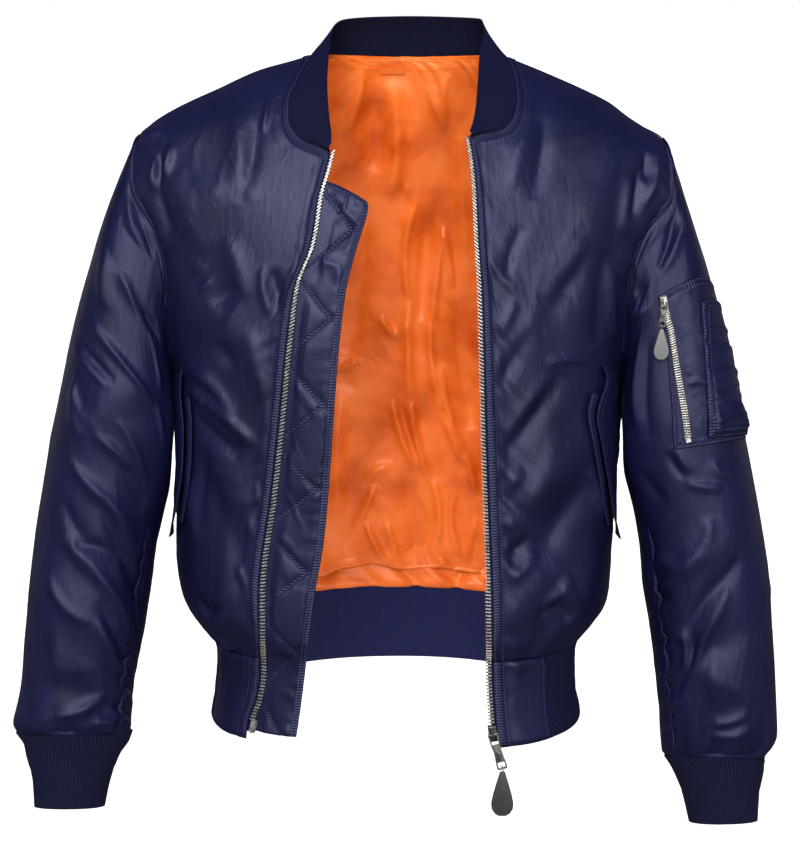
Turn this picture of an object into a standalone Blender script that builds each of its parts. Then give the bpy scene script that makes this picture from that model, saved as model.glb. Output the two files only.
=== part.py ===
"""Bomber jacket, unzipped and filled out as if worn: satin shell, rib-knit collar, hem and cuffs.

The frame: +Z up, -Y the front, +X the wearer's left. The origin is the middle of the neck base, at the
height where the shoulders carry the jacket. Tables are in millimetres and read upwards or along a seam;
every mesh is made in metres.
"""
import math

import bmesh
import bpy
import numpy as np

MM = 0.001

# ---- driving sizes, millimetres -------------------------------------------------------------------
SHELL = 2.0            # satin, wadding and lining of the shell
RIB_CLOTH = 2.6        # double rib knit
LINING_CLOTH = 1.0
SEAM_GAP = 0.3         # between two pieces sewn together
RIB_RELIEF = 1.0       # height of a knit rib over its groove
FRONT, BACK = -1, 1
RIGHT, LEFT = -1, 1    # the wearer's right is -X

HEM_SEAM = -560.0      # height of the seam between shell and hem
HEM_END = -641.0
ARMPIT = -300.0
SHOULDER_TIP = {RIGHT: -50.0, LEFT: -53.5}
ARMHOLE_DEPTH = {FRONT: 60.0, BACK: 56.0}
NECK_POINT = {RIGHT: 88.0, LEFT: 106.0}
ZIP_TOP = {RIGHT: -60.0, LEFT: -45.0}
CLOTH_TO_TEETH = 5.0   # from a front's edge to the line of the teeth
BODY_CLEARANCE = 2.6   # between a sleeve and the side that it hangs against
POCKET_CLEARANCE = 2.6 # the same again where the pocket flaps lie between them

SIDE_ROWS = 10         # rows from hem seam to armpit
ARMHOLE_ROWS = 12      # rows from armpit to shoulder tip, and sleeve columns per half
NECK_ROWS = 7          # the topmost rows end on the neckline
FRONT_COLUMNS = 11
SHOULDER_COLUMNS = 9
NECK_COLUMNS = 12
TAB_COLUMNS = {RIGHT: 6, LEFT: 4}

# Torso: pattern height, half width on the wearer's right and left, depth in front and behind, squareness
TORSO = (
    (-660, 199, 187, 147, 125, 2.8),
    (-641, 196, 187, 146, 124, 2.8),
    (-616, 192, 182, 143, 122, 2.8),
    (-574, 189, 181, 141, 120, 2.8),
    (-560, 192, 184, 142, 121, 2.8),
    (-549, 205, 199, 149, 127, 2.7),
    (-536, 217.5, 210, 153, 130, 2.7),
    (-510, 228.5, 217, 154, 131, 2.6),
    (-470, 232, 219, 152, 129, 2.5),
    (-400, 230, 223, 150, 128, 2.45),
    (-300, 230, 228, 148, 128, 2.4),
    (-150, 230, 228, 144, 127, 2.4),
    (-50, 230, 228, 141, 122, 2.4),
    (60, 230, 228, 139, 118, 2.4),
)

# Sway of the hem: pattern height, how much higher the middle of the front and of the back hang than the sides
HEM_SWAY = (
    (-641, -5, 16),
    (-560, 3, 15),
    (-470, 3, 8),
    (-300, 0, 0),
)

# Shoulder line: distance from the middle, height on the wearer's right and left
SHOULDER = (
    (0, 60, 66),
    (88, 31, 36),
    (106, 25.5, 29),
    (140, 16, 15.5),
    (185, -4, -4),
    (209, -14.5, -16),
    (228, -24, -30),
    (245, -34, -41),
    (264, -50, -51.6),
    (266, -51.8, -53.5),
    (275, -60, -64),
)

# Armhole: angle from the shoulder tip to under the arm, distance from the middle for the right front,
# right back, left front and left back
ARMHOLE = (
    (0, 264, 264, 266, 266),
    (40, 268, 262, 271, 264),
    (55, 264, 258, 270, 260),
    (65, 254, 254, 257, 257),
    (75, 242, 250, 242, 252),
    (90, 234, 246, 231, 247),
    (110, 231, 241, 226, 241),
    (135, 230, 236, 225, 235),
    (160, 230, 232, 226, 230),
    (180, 230, 230, 228, 228),
)

# Opening edge: pattern height, distance of the teeth from the middle, right and left
ZIP_LINE = (
    (-641, 150, 94),
    (-625, 148, 91),
    (-600, 139, 88.5),
    (-575, 135, 87),
    (-490, 134, 85),
    (-391, 121, 81),
    (-313, 112, 78),
    (-246, 105, 76),
    (-189, 97, 74),
    (-147, 81, 71),
    (-104, 74, 69),
    (-60, 67, 66),
    (-45, 66, 65),
)

# Front neckline: way from the zip's top to the shoulder, then x and height, right and left
FRONT_NECK = (
    (0.0, 67, -60, 67, -45),
    (0.22, 97, -46, 97, -39),
    (0.40, 107, -28, 110, -24),
    (0.56, 107, -12, 113, -8),
    (0.77, 99, 8, 111, 12),
    (1.0, 88, 31, 106, 29),
)

# Back neckline: distance along x, height
BACK_NECK = ((-88, 31), (-60, 29), (9, 27), (75, 28.5), (106, 29))

# Sleeves: way down from the armhole; outer x and height; inner x and height; middle y; half depth; how much
# higher the front of the section is than its middle
SLEEVE = {
    RIGHT: (
        (0, 264, -50, 230, -300, -2, 58, 0),
        (45, 283, -92, 226, -304, -5, 64, 0),
        (95, 301, -138, 221, -310, -8, 69, 0),
        (148, 316, -188, 218, -318, -11, 72, 0),
        (200, 331, -238, 216, -330, -15, 73, 0),
        (256, 343, -292, 218, -348, -19, 73, 1),
        (310, 354, -345, 225, -374, -23, 72, 3),
        (362, 363, -395, 234, -404, -27, 71, 5),
        (418, 373, -450, 246, -452, -31, 70, 7),
        (468, 379, -500, 253, -502, -35, 69, 9),
        (518, 384, -550, 261, -551, -39, 68, 11),
        (568, 388, -600, 271, -600, -43, 66, 12),
        (598, 394, -630, 274, -630, -46, 64, 13),
        (615, 398, -645, 275, -645, -48, 61, 13),
        (627, 394, -656, 276, -655, -49, 56, 13),
        (638, 386, -668, 280, -666, -50, 50, 12),
        (650, 384, -680, 289, -679, -50, 46, 11),
        (678, 378, -708, 300, -708, -51, 40, 10),
        (705, 377, -735, 306, -735, -52, 36, 9),
    ),
    LEFT: (
        (0, 266, -53.5, 228, -300, -2, 58, 0),
        (45, 281, -93, 224, -304, -5, 64, 0),
        (95, 297, -139, 219, -310, -8, 69, 0),
        (148, 313, -188, 215, -318, -11, 72, 0),
        (200, 327, -238, 213, -330, -15, 73, 0),
        (256, 341, -292, 215, -348, -19, 73, 1),
        (310, 351, -345, 221, -374, -23, 72, 3),
        (362, 361, -395, 231, -400, -27, 71, 5),
        (418, 371, -450, 243, -452, -31, 70, 7),
        (468, 378, -500, 247, -502, -35, 69, 10),
        (518, 382, -550, 256, -552, -39, 68, 12),
        (568, 386, -600, 262, -602, -43, 66, 14),
        (600, 388, -632, 266, -632, -46, 64, 16),
        (633, 390, -664, 269, -664, -48, 61, 17),
        (647, 382, -677, 272, -675, -49, 56, 17),
        (655, 375, -686, 273, -681, -50, 52, 16),
        (667, 374, -698, 280, -692, -50, 47, 14),
        (691, 370, -723, 292, -720, -51, 41, 11),
        (720, 369, -750, 300, -752, -52, 36, 9),
    ),
}
CUFF_SEAM = {RIGHT: 627.0, LEFT: 655.0}
CUFF_END = {RIGHT: 705.0, LEFT: 720.0}
SLEEVE_EASE = ((0, 1.0), (50, 0.7), (110, 0.38), (180, 0.14), (250, 0.03), (300, 0.0))
SLEEVE_ROUND = 2.2
SLEEVE_WAYS = (0, 22, 48, 80, 118, 160, 204, 250, 296, 344, 394, 446, 498, 548, 588, 612)

# Collar's free edge: way round from the right zip end to the left one, then x, y, z
COLLAR_EDGE = (
    (0.0, -66, -101, -52),
    (0.06, -66, -93, -44),
    (0.13, -69, -76, -22),
    (0.20, -71, -52, 8),
    (0.27, -70, -14, 36),
    (0.33, -68, 14, 55),
    (0.39, -59, 41, 65),
    (0.45, -32, 62, 68),
    (0.51, 12, 70, 69),
    (0.58, 56, 62, 68),
    (0.64, 82, 41, 66),
    (0.70, 84, 12, 54),
    (0.76, 79, -14, 34),
    (0.83, 76, -52, 6),
    (0.90, 73, -76, -20),
    (0.95, 69, -91, -36),
    (1.0, 67, -99, -39),
)

# Soft folds on a panel: x and height of each end, half width, height over the cloth (troughs negative)
FRONT_FOLDS = {
    RIGHT: (
        (-195, -330, -130, -440, 17, 5.0),
        (-200, -352, -150, -470, 14, -4.0),
        (-205, -120, -150, -80, 20, 4.0),
        (-215, -190, -130, -260, 22, 4.0),
        (-150, -470, -190, -540, 18, 4.0),
        (-160, -520, -140, -455, 14, -3.5),
    ),
    LEFT: (
        (100, -430, 200, -320, 18, 5.0),
        (105, -470, 190, -370, 16, -4.5),
        (100, -520, 150, -460, 16, 4.5),
        (225, -60, 205, -190, 14, -5.0),
        (190, -90, 170, -260, 20, 4.5),
        (110, -540, 190, -500, 16, -4.0),
        (200, -440, 170, -540, 18, 4.5),
    ),
}
BACK_FOLDS = (
    (-200, -120, -90, -240, 20, 4.5),
    (-190, -330, -60, -430, 22, -4.0),
    (-150, -520, -40, -470, 18, 4.0),
    (40, -470, 170, -520, 18, 4.5),
    (60, -400, 200, -330, 20, 4.0),
    (110, -220, 205, -130, 20, 4.0),
    (-60, -90, 70, -110, 22, -3.0),
)
# Soft folds on a sleeve: angle and way of each end, half width, height
SLEEVE_FOLDS = {
    RIGHT: (
        (120, 120, 60, 330, 17, 5.0),
        (95, 300, 150, 430, 16, -4.5),
        (40, 430, 130, 540, 17, 5.0),
        (60, 560, 150, 600, 14, -4.0),
        (250, 150, 310, 330, 18, 4.5),
        (230, 420, 320, 520, 18, 4.5),
    ),
    LEFT: (
        (110, 60, 130, 260, 14, 5.5),
        (75, 90, 95, 260, 13, -4.0),
        (60, 400, 140, 470, 17, 5.0),
        (50, 500, 140, 560, 17, -4.5),
        (60, 590, 130, 540, 14, 4.0),
        (250, 170, 300, 350, 18, 4.5),
        (240, 450, 320, 540, 18, 4.5),
    ),
}

# Pocket flaps: height, distance of the free edge from the middle, height of that edge over the front
POCKET_EDGE = {
    RIGHT: ((-449, 224, 8), (-426, 220, 6), (-401, 216, 4.5), (-379, 213, 3.5), (-333, 211, 3.5),
            (-300, 213, 4), (-275, 212, 2.5)),
    LEFT: ((-451, 214, 8), (-420, 207, 6), (-379, 201, 4.5), (-351, 196, 3.5), (-318, 190.5, 3),
           (-309, 192, 3), (-283, 199, 4), (-267, 196, 2.5)),
}
POCKET_FLAP_WIDTH = 30.0
POCKET_CLOTH = 1.6
WELT_CLOTH = 1.4
WELT_LIFT = {RIGHT: 0.6, LEFT: 1.6}   # the left one bridges small folds

# Sleeve pocket on the wearer's left: ends down the sleeve, and the angles of its edges
# Each patch: its top and its foot as ways down the sleeve by angle, and its front edge as angles by way
SLEEVE_POCKET = (((20, 150), (83, 78)), ((20, 314), (101, 299)), ((78, 83), (299, 101)))
SLEEVE_POCKET_KNOTS = (30, 45, 60, 75, 90)
SLEEVE_POCKET_ROWS = ((160, 0), (160, 1 / 3), (160, 2 / 3), (160, 1), (204, 1), (250, 1))
PEN_POCKET = (((22, 170), (54, 140)), ((22, 311), (75, 296)), ((140, 54), (296, 75)))
PEN_POCKET_KNOTS = (30, 45, 60)
PEN_POCKET_ROWS = ((204, 0), (204, 0.5), (204, 1), (250, 1))
PATCH_LIFTS = (0.7, 2.8)
PATCH_CLOTH = 1.2
POCKET_CHAIN = ((104, 81.1), (118, 81.7), (160, 83.6), (204, 85.5), (250, 87.5), (292, 89.3))   # way, angle
POCKET_CHAIN_HALF = 1.2
POCKET_CHAIN_LIFT = 2.6
POCKET_CHAIN_THICK = 1.4

# Zip: everything beside an opening edge, as distances towards the opening and heights over the cloth
ZIP_BOTTOM = -636.0
TAPE_ACROSS = (-11.0, 0.2)
TAPE_LIFT = (-3.5, -2.8)
CHAIN_ACROSS = (0.5, 7.4)
CHAIN_LIFT = (-4.1, -1.1)
SLIDER_Z = -630.0
SLIDER_WIDTH = 8.4
SLIDER_PIN = 1.9       # from a slider's face to the pin under its crown
PIN_LENGTH = 12.0
CROWN_WIDTH = 2.0
CROWN = (
    (-5.2, 0.3), (-5.2, 3.7), (-3.9, 5.0), (3.9, 5.0), (5.2, 3.7), (5.2, 0.3),
    (4.0, 0.3), (4.0, 3.0), (3.4, 3.6), (-3.4, 3.6), (-4.0, 3.0), (-4.0, 0.3),
)
# Pull tab: way down from the pin, half width, half width of its windows
TAB = (
    (-0.8, 4.2, 2.8),
    (0.8, 4.3, 2.8),
    (8.6, 4.1, 2.8),
    (14.0, 3.4, 1.4),
    (20.0, 3.6, 1.4),
    (24.3, 4.2, 2.9),
    (29.0, 4.4, 2.9),
    (30.6, 3.6, 2.4),
)
TAB_WINDOWS = (1, 5)
TAB_THICK = 2.0
TAB_BAR = 29.8
LOOP_MIDDLE = 2.2
LOOP_WIRE = 0.55
# Drop: way down, half width
DROP = (
    (0.0, 2.0), (4.0, 3.2), (12.0, 5.6), (20.0, 7.8), (27.0, 9.2), (32.0, 8.8), (36.0, 6.2), (38.0, 3.0),
)
DROP_THICK = 3.0
MAIN_TAB_LEAN = 16.0
MAIN_SLIDER_LEAN = 7.5
POCKET_TAB_LEAN = -5.0
POCKET_SLIDER_LEAN = 10.0
MAIN_PULL_SCALE = 1.2
POCKET_PULL_SCALE = 0.8
POCKET_SLIDER_SPOT = (80.5, 90.0)   # angle and way

# Wind flap: pattern height, distance of its free edge from the middle
FLAP_EDGE = (
    (-632, 104), (-581, 96), (-490, 84), (-440, 75), (-391, 70), (-294, 63), (-246, 59), (-190, 52),
    (-150, 42), (-118, 32), (-100, 29),
)
FLAP_TOP = -85.0
FLAP_SLANT = 18.0      # how much lower its free corner is than its top at the zip
FLAP_DEPTH = 5.2       # its outer side below the surface of the front
FLAP_CLOTH = 3.0

LINING_ROWS = [1, 2, 4, 7, 10, 13, 16, 19, 21, 22]   # rows of the back that the lining follows
LINING_GAP = 4.0       # between the back's inner side and the lining
# Folds of the back lining: x and height of each end, half width, height
LINING_FOLDS = (
    (-95, -560, -70, -90, 14, 5.0),
    (-45, -570, -35, -60, 13, 6.0),
    (5, -570, 12, -120, 15, 4.5),
    (52, -570, 45, -60, 13, 6.5),
    (88, -560, 82, -160, 12, 5.0),
    (-150, -520, -140, -200, 16, 4.0),
    (150, -520, 140, -200, 16, 4.0),
)
# Hanger loop: its two ends along x, its lower and upper edge
LOOP_ENDS = (-26.0, 5.0)
LOOP_HEIGHTS = (10.5, 17.0)
LOOP_LIFT = 0.4
LOOP_CLOTH = 1.2


# ---- curves and surfaces --------------------------------------------------------------------------
def read(table, column, at):
    """A smooth value of one column of a table, which never overshoots its rows."""
    keys = np.array([row[0] for row in table], float)
    values = np.array([row[column] for row in table], float)
    steps = np.diff(values) / np.diff(keys)
    slopes = np.empty(len(keys))
    slopes[0] = steps[0]
    slopes[-1] = steps[-1]
    product = steps[:-1] * steps[1:]
    total = np.where(product > 0, steps[:-1] + steps[1:], 1.0)
    slopes[1:-1] = np.where(product > 0, 2 * product / total, 0.0)
    at = np.clip(np.asarray(at, float), keys[0], keys[-1])
    spot = np.clip(np.searchsorted(keys, at, side="right") - 1, 0, len(keys) - 2)
    width = keys[spot + 1] - keys[spot]
    part = (at - keys[spot]) / width
    start = values[spot] + (3 * part**2 - 2 * part**3) * (values[spot + 1] - values[spot])
    bend = slopes[spot] * (part - 2 * part**2 + part**3) + slopes[spot + 1] * (part**3 - part**2)
    return start + width * bend


def unit(vectors):
    """The same directions at length one."""
    return vectors / np.maximum(np.linalg.norm(vectors, axis=-1, keepdims=True), 1e-9)


def resample(points, fractions):
    """Points at the given fractions of a polyline's length."""
    steps = np.linalg.norm(np.diff(points, axis=0), axis=1)
    way = np.concatenate([[0], np.cumsum(steps)])
    at = np.asarray(fractions) * way[-1]
    return np.stack([np.interp(at, way, points[:, axis]) for axis in range(points.shape[1])], axis=1)


def shoulder_height(x, face):
    """Top of the cloth over a point: the shoulder line, and over the back neck a rise towards the nape."""
    x = np.asarray(x, float)
    height = np.where(x < 0, read(SHOULDER, 1, np.abs(x)), read(SHOULDER, 2, np.abs(x)))
    if face == BACK:
        middle = (NECK_POINT[LEFT] - NECK_POINT[RIGHT]) / 2
        reach = (NECK_POINT[LEFT] + NECK_POINT[RIGHT]) / 2
        height = height + 77 * np.clip(1 - ((x - middle) / reach) ** 2, 0, 1) ** 1.3
    return height


def armhole(side, face, angle):
    """Points of an armhole seam, from the shoulder tip (0) round one face to under the arm (180)."""
    column = 1 + (side == LEFT) * 2 + (face == BACK)
    turn = np.radians(angle)
    rise = (SHOULDER_TIP[side] - ARMPIT) / 2
    x = side * read(ARMHOLE, column, angle)
    y = face * ARMHOLE_DEPTH[face] * np.sin(turn)
    z = ARMPIT + rise * (1 + np.cos(turn))
    return np.stack([x, y, z], axis=-1)


def armhole_normal(side, face, angle):
    """Thickness direction along an armhole seam."""
    turn = np.radians(angle)
    rise = (SHOULDER_TIP[side] - ARMPIT) / 2
    y = face * np.sin(turn) / ARMHOLE_DEPTH[face]
    return unit(np.stack([np.zeros_like(turn), y, np.cos(turn) / rise], axis=-1))


def half_width(side, face, height):
    """Half width of the torso's section; above the armpit it carries the surface through the armhole."""
    height = np.asarray(height, float)
    below = read(TORSO, 1 if side == RIGHT else 2, height)
    rise = (SHOULDER_TIP[side] - ARMPIT) / 2
    turn = np.arccos(np.clip((height - ARMPIT) / rise - 1, -1, math.cos(math.radians(4))))
    ring = armhole(side, face, np.degrees(turn))
    square = read(TORSO, 5, height)
    reach = section_depth(face, ring[..., 0], ring[..., 2])
    share = np.clip(np.abs(ring[..., 1]) / np.maximum(reach, 1e-6), 0, 0.9)
    above = np.abs(ring[..., 0]) / (1 - share**square) ** (1 / square)
    return np.where(height < ARMPIT, below, above)


def section_depth(face, x, height):
    """Greatest depth of the section at a height, which closes to nothing on the shoulder line."""
    full = read(TORSO, 3 if face == FRONT else 4, height)
    lift = (height - ARMPIT) / (shoulder_height(x, face) - ARMPIT)
    return full * np.sqrt(1 - np.clip(lift, 0, 1) ** 2)


def hem_lift(face, x, height):
    """How much higher the middle of the front or back hangs than the sides."""
    half = np.where(x < 0, half_width(RIGHT, face, height), half_width(LEFT, face, height))
    share = np.clip(1 - (x / half) ** 2, 0, 1)
    return read(HEM_SWAY, 1 if face == FRONT else 2, height) * share


def body_point(face, x, height):
    """A point of the torso's outer surface over pattern position x, height."""
    x = np.asarray(x, float)
    height = np.asarray(height, float) + 0 * x
    half = np.where(x < 0, half_width(RIGHT, face, height), half_width(LEFT, face, height))
    square = read(TORSO, 5, height)
    share = (1 - np.clip(np.abs(x) / half, 0, 1) ** square) ** (1 / square)
    y = face * section_depth(face, x, height) * share
    return np.stack([x, y, height + hem_lift(face, x, height)], axis=-1)


def body_level(face, x, y, height):
    """Zero on the torso's surface and growing outwards, for its normals."""
    half = np.where(x < 0, half_width(RIGHT, face, height), half_width(LEFT, face, height))
    square = read(TORSO, 5, height)
    share = (1 - np.clip(np.abs(x) / half, 0, 1) ** square) ** (2 / square)
    full = read(TORSO, 3 if face == FRONT else 4, height)
    return (y / full) ** 2 - (section_depth(face, x, height) / full) ** 2 * share


def body_normal(face, points):
    """Outward direction of the torso's surface."""
    x, y = points[..., 0], points[..., 1]
    height = points[..., 2] - hem_lift(face, x, points[..., 2])
    step = 0.5
    along = [
        body_level(face, x + step, y, height) - body_level(face, x - step, y, height),
        body_level(face, x, y + step, height) - body_level(face, x, y - step, height),
        body_level(face, x, y, height + step) - body_level(face, x, y, height - step),
    ]
    return unit(np.stack(along, axis=-1))


def folds(table, across, along, stretch=1.0):
    """Height of the soft folds at positions on the cloth; stretch turns the first key into millimetres."""
    height = np.zeros_like(across)
    for start_a, start_b, end_a, end_b, width, top in table:
        run = np.array([(end_a - start_a) * stretch, end_b - start_b])
        length = np.linalg.norm(run)
        away_a = (across - start_a) * stretch
        away_b = along - start_b
        forward = (away_a * run[0] + away_b * run[1]) / length
        aside = (away_a * run[1] - away_b * run[0]) / length
        taper = np.clip(1 - np.abs(2 * forward / length - 1) ** 2, 0, 1)
        height = height + top * taper * np.exp(-((aside / width) ** 2))
    return height


def resample_line(values, parts):
    """Every step of a line of values split into equal parts."""
    spots = np.arange((len(values) - 1) * parts + 1) / parts
    return np.interp(spots, np.arange(len(values)), values)


def edge_fade(rows, columns, reach=2.0):
    """A weight of one inside a grid that falls to zero at its edges."""
    down = np.minimum(np.arange(rows), np.arange(rows)[::-1]) / reach
    across = np.minimum(np.arange(columns), np.arange(columns)[::-1]) / reach
    return np.clip(down, 0, 1)[:, None] * np.clip(across, 0, 1)[None, :]


def seam_shift(line, normals, toward, amount=SEAM_GAP / 2):
    """How far a piece's edge steps back from its seam, square to the seam and the cloth's thickness."""
    along = unit(np.gradient(line, axis=0))
    back = unit(np.cross(along, normals))
    sign = np.sign(np.sum(back * toward, axis=-1, keepdims=True))
    return back * np.where(sign == 0, 1, sign) * amount


# ---- making meshes --------------------------------------------------------------------------------
def material(name, colour, roughness, metallic=0.0):
    """A plain finish for one kind of cloth or metal."""
    finish = bpy.data.materials.new(name)
    finish.use_nodes = True
    shader = finish.node_tree.nodes["Principled BSDF"]
    shader.inputs["Base Color"].default_value = (*colour, 1.0)
    shader.inputs["Roughness"].default_value = roughness
    shader.inputs["Metallic"].default_value = metallic
    return finish


def add_object(name, mesh, finish, smooth=True):
    """Put a finished mesh into the jacket's collection."""
    item = bpy.data.objects.new(name, mesh)
    mesh.materials.clear()
    mesh.materials.append(finish)
    if smooth:
        mesh.shade_smooth()
        mesh.set_sharp_from_angle(angle=math.radians(40))
    jacket.objects.link(item)
    return item


def wall(name, outer, inner, finish, tube=False):
    """Loft a cloth wall between its outer and inner points, with rims along the free edges.

    Both are rows of points. The outer rows may have several steps for each step of the inner ones.
    """
    rows = outer.shape[0]
    fine = outer.shape[1]
    coarse = inner.shape[1]
    cells = coarse if tube else coarse - 1
    step = (fine if tube else fine - 1) // cells
    shape = bmesh.new()
    skin = [[shape.verts.new(point * MM) for point in row] for row in outer]
    back = [[shape.verts.new(point * MM) for point in row] for row in inner]
    for row in range(rows - 1):
        for at in range(fine if tube else fine - 1):
            nxt = (at + 1) % fine
            shape.faces.new((skin[row][at], skin[row][nxt], skin[row + 1][nxt], skin[row + 1][at]))
        for at in range(cells):
            nxt = (at + 1) % coarse
            shape.faces.new((back[row][at], back[row + 1][at], back[row + 1][nxt], back[row][nxt]))
    for row in (0, rows - 1):
        for at in range(cells):
            inside = [back[row][at], back[row][(at + 1) % coarse]]
            outside = [skin[row][(at * step + k) % fine] for k in range(step, -1, -1)]
            shape.faces.new(inside + outside)
    if not tube:
        for row in range(rows - 1):
            for end in (0, -1):
                shape.faces.new((skin[row][end], skin[row + 1][end], back[row + 1][end], back[row][end]))
    bmesh.ops.recalc_face_normals(shape, faces=shape.faces)
    mesh = bpy.data.meshes.new(name)
    shape.to_mesh(mesh)
    shape.free()
    return add_object(name, mesh, finish)


def ribbed(rows, normals, ribs, relief=RIB_RELIEF):
    """Outer points of a rib knit: ribs raised along the wall between its coarse columns."""
    steps = 2 * ribs
    count = rows.shape[1]
    at = np.arange((count - 1) * steps + 1) / steps
    spot = np.minimum(at.astype(int), count - 2)
    part = (at - spot)[None, :, None]
    points = rows[:, spot] * (1 - part) + rows[:, spot + 1] * part
    out = unit(normals[:, spot] * (1 - part) + normals[:, spot + 1] * part)
    raised = (np.arange(len(at)) % 2)[None, :, None] * relief
    return points + out * raised


# ---- torso panels ---------------------------------------------------------------------------------
def pattern_heights(side):
    """Heights of the panel rows at the side seam and armhole, and the angles on the armhole."""
    angles = np.linspace(180, 0, ARMHOLE_ROWS + 1)
    seam = np.linspace(HEM_SEAM, ARMPIT, SIDE_ROWS + 1)
    rise = (SHOULDER_TIP[side] - ARMPIT) / 2
    return np.concatenate([seam, ARMPIT + rise * (1 + np.cos(np.radians(angles[1:])))]), angles


def row_across(face, x, height, fractions):
    """Points across a panel at fractions of the cloth's length along one pattern line."""
    return resample(body_point(face, x, height), fractions)


SWEEP = np.concatenate([1 - np.cos(np.linspace(0, math.pi / 2, 160))])


def front_neck(side, count):
    """Pattern positions of the front neckline, from the zip's top to the shoulder, equal steps apart."""
    way = np.linspace(0, 1, 200)
    column = 1 if side == RIGHT else 3
    x = side * read(FRONT_NECK, column, way)
    height = read(FRONT_NECK, column + 1, way)
    line = body_point(FRONT, x, height)
    steps = np.concatenate([[0], np.cumsum(np.linalg.norm(np.diff(line, axis=0), axis=1))])
    at = np.linspace(0, steps[-1], count + 1)
    return np.interp(at, steps, x), np.interp(at, steps, height)


def front_edge(side):
    """Pattern positions of a front's opening edge, row by row: up the zip, then round the neckline."""
    zip_rows = SIDE_ROWS + ARMHOLE_ROWS - NECK_ROWS
    heights = np.linspace(HEM_SEAM, ZIP_TOP[side], zip_rows + 1)
    column = 1 if side == RIGHT else 2
    x = side * (read(ZIP_LINE, column, heights) + CLOTH_TO_TEETH)
    neck_x, neck_height = front_neck(side, NECK_ROWS)
    blend = np.clip((heights - ZIP_TOP[side] + 40) / 40, 0, 1)
    x = x * (1 - blend) + neck_x[0] * blend + side * CLOTH_TO_TEETH * blend * (1 - blend)
    return np.concatenate([x, neck_x[1:]]), np.concatenate([heights, neck_height[1:]])


def front_grid(side):
    """Outer points of a front, rows from hem to shoulder, columns from the side to the opening."""
    seam_heights, angles = pattern_heights(side)
    edge_x, edge_height = front_edge(side)
    tip = armhole(side, FRONT, 0.0)
    rows = []
    for row, height in enumerate(seam_heights):
        if row <= SIDE_ROWS:
            start_x = side * half_width(side, FRONT, np.array(height - 1e-6))
            rise = 0.0
        else:
            start_x = armhole(side, FRONT, angles[row - SIDE_ROWS])[0]
            rise = ((row - SIDE_ROWS) / ARMHOLE_ROWS) ** 2
        x = start_x + (edge_x[row] - start_x) * SWEEP
        line = height + (edge_height[row] - height) * SWEEP
        over = tip[0] + (side * NECK_POINT[side] - tip[0]) * SWEEP
        straight = tip[2] + (edge_height[-1] - tip[2]) * SWEEP
        line = line + rise * (shoulder_height(over, FRONT) - straight)
        rows.append(row_across(FRONT, x, line, np.linspace(0, 1, FRONT_COLUMNS + 1)))
    return np.array(rows)


def back_grid():
    """Outer points of the back, rows from hem to shoulder, columns from the wearer's right to left."""
    right_heights, angles = pattern_heights(RIGHT)
    left_heights, _ = pattern_heights(LEFT)
    tips = {side: abs(armhole(side, BACK, 0.0)[0]) for side in (RIGHT, LEFT)}
    neck_ends = [side * NECK_POINT[side] / tips[side] for side in (RIGHT, LEFT)]
    share = np.unique(np.concatenate([-np.cos(np.linspace(0, math.pi, 801)), neck_ends]))
    mix = (share + 1) / 2
    columns = 2 * SHOULDER_COLUMNS + NECK_COLUMNS
    rows = []
    for row, (right, left) in enumerate(zip(right_heights, left_heights)):
        if row <= SIDE_ROWS:
            ends = [half_width(side, BACK, np.array(right - 1e-6)) for side in (RIGHT, LEFT)]
            rise = 0.0
        else:
            ends = [abs(armhole(side, BACK, angles[row - SIDE_ROWS])[0]) for side in (RIGHT, LEFT)]
            rise = (row - SIDE_ROWS) / ARMHOLE_ROWS
        x = np.where(share < 0, ends[0], ends[1]) * share
        over = np.where(share < 0, tips[RIGHT], tips[LEFT]) * share
        neck = (over > -NECK_POINT[RIGHT]) & (over < NECK_POINT[LEFT])
        top = np.where(neck, read(BACK_NECK, 1, over), shoulder_height(over, FRONT))
        line = right + (left - right) * mix + rise * (top - top[0] - (top[-1] - top[0]) * mix)
        points = body_point(BACK, x, line)
        steps = np.concatenate([[0], np.cumsum(np.linalg.norm(np.diff(points, axis=0), axis=1))])
        steps = steps / steps[-1]
        first = np.interp(-NECK_POINT[RIGHT], over, steps)
        last = np.interp(NECK_POINT[LEFT], over, steps)
        even = SHOULDER_COLUMNS / columns
        stops = [0, even + (first - even) * rise, 1 - even + (last - 1 + even) * rise, 1]
        marks = [0, SHOULDER_COLUMNS, SHOULDER_COLUMNS + NECK_COLUMNS, columns]
        rows.append(resample(points, np.interp(np.arange(columns + 1), marks, stops)))
    return np.array(rows)


def side_normals(side, line):
    """Thickness direction along a side seam."""
    slope = np.gradient(np.abs(line[:, 0])) / np.gradient(line[:, 2])
    return unit(np.stack([side * np.ones(len(line)), np.zeros(len(line)), -slope], axis=-1))


def shoulder_normals(line):
    """Thickness direction along a shoulder seam."""
    along = unit(np.gradient(line, axis=0))
    turned = np.stack([-along[:, 2], np.zeros(len(line)), along[:, 0]], axis=-1)
    return turned * np.sign(turned[:, 2:3])


def neck_point_normal(side):
    """Thickness direction where shoulder seam and collar meet."""
    low, high = shoulder_height(side * (NECK_POINT[side] + np.array([12.0, 0.0])), FRONT)
    return unit(np.array([side * (high - low), 0.0, 12.0]))


def hem_normals(line):
    """Thickness direction along the hem: level, and square to the line."""
    along = unit(np.gradient(line, axis=0))
    turned = unit(np.stack([along[:, 1], -along[:, 0], np.zeros(len(line))], axis=-1))
    outward = np.sum(turned * (line - np.array([0, -10, 0])) * np.array([1, 1, 0]), axis=-1, keepdims=True)
    return turned * np.sign(outward)


def neck_away(points):
    """Direction away from the neck, on the panels' side of the collar seam."""
    return points - np.array([9.0, -10.0, 40.0])


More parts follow.
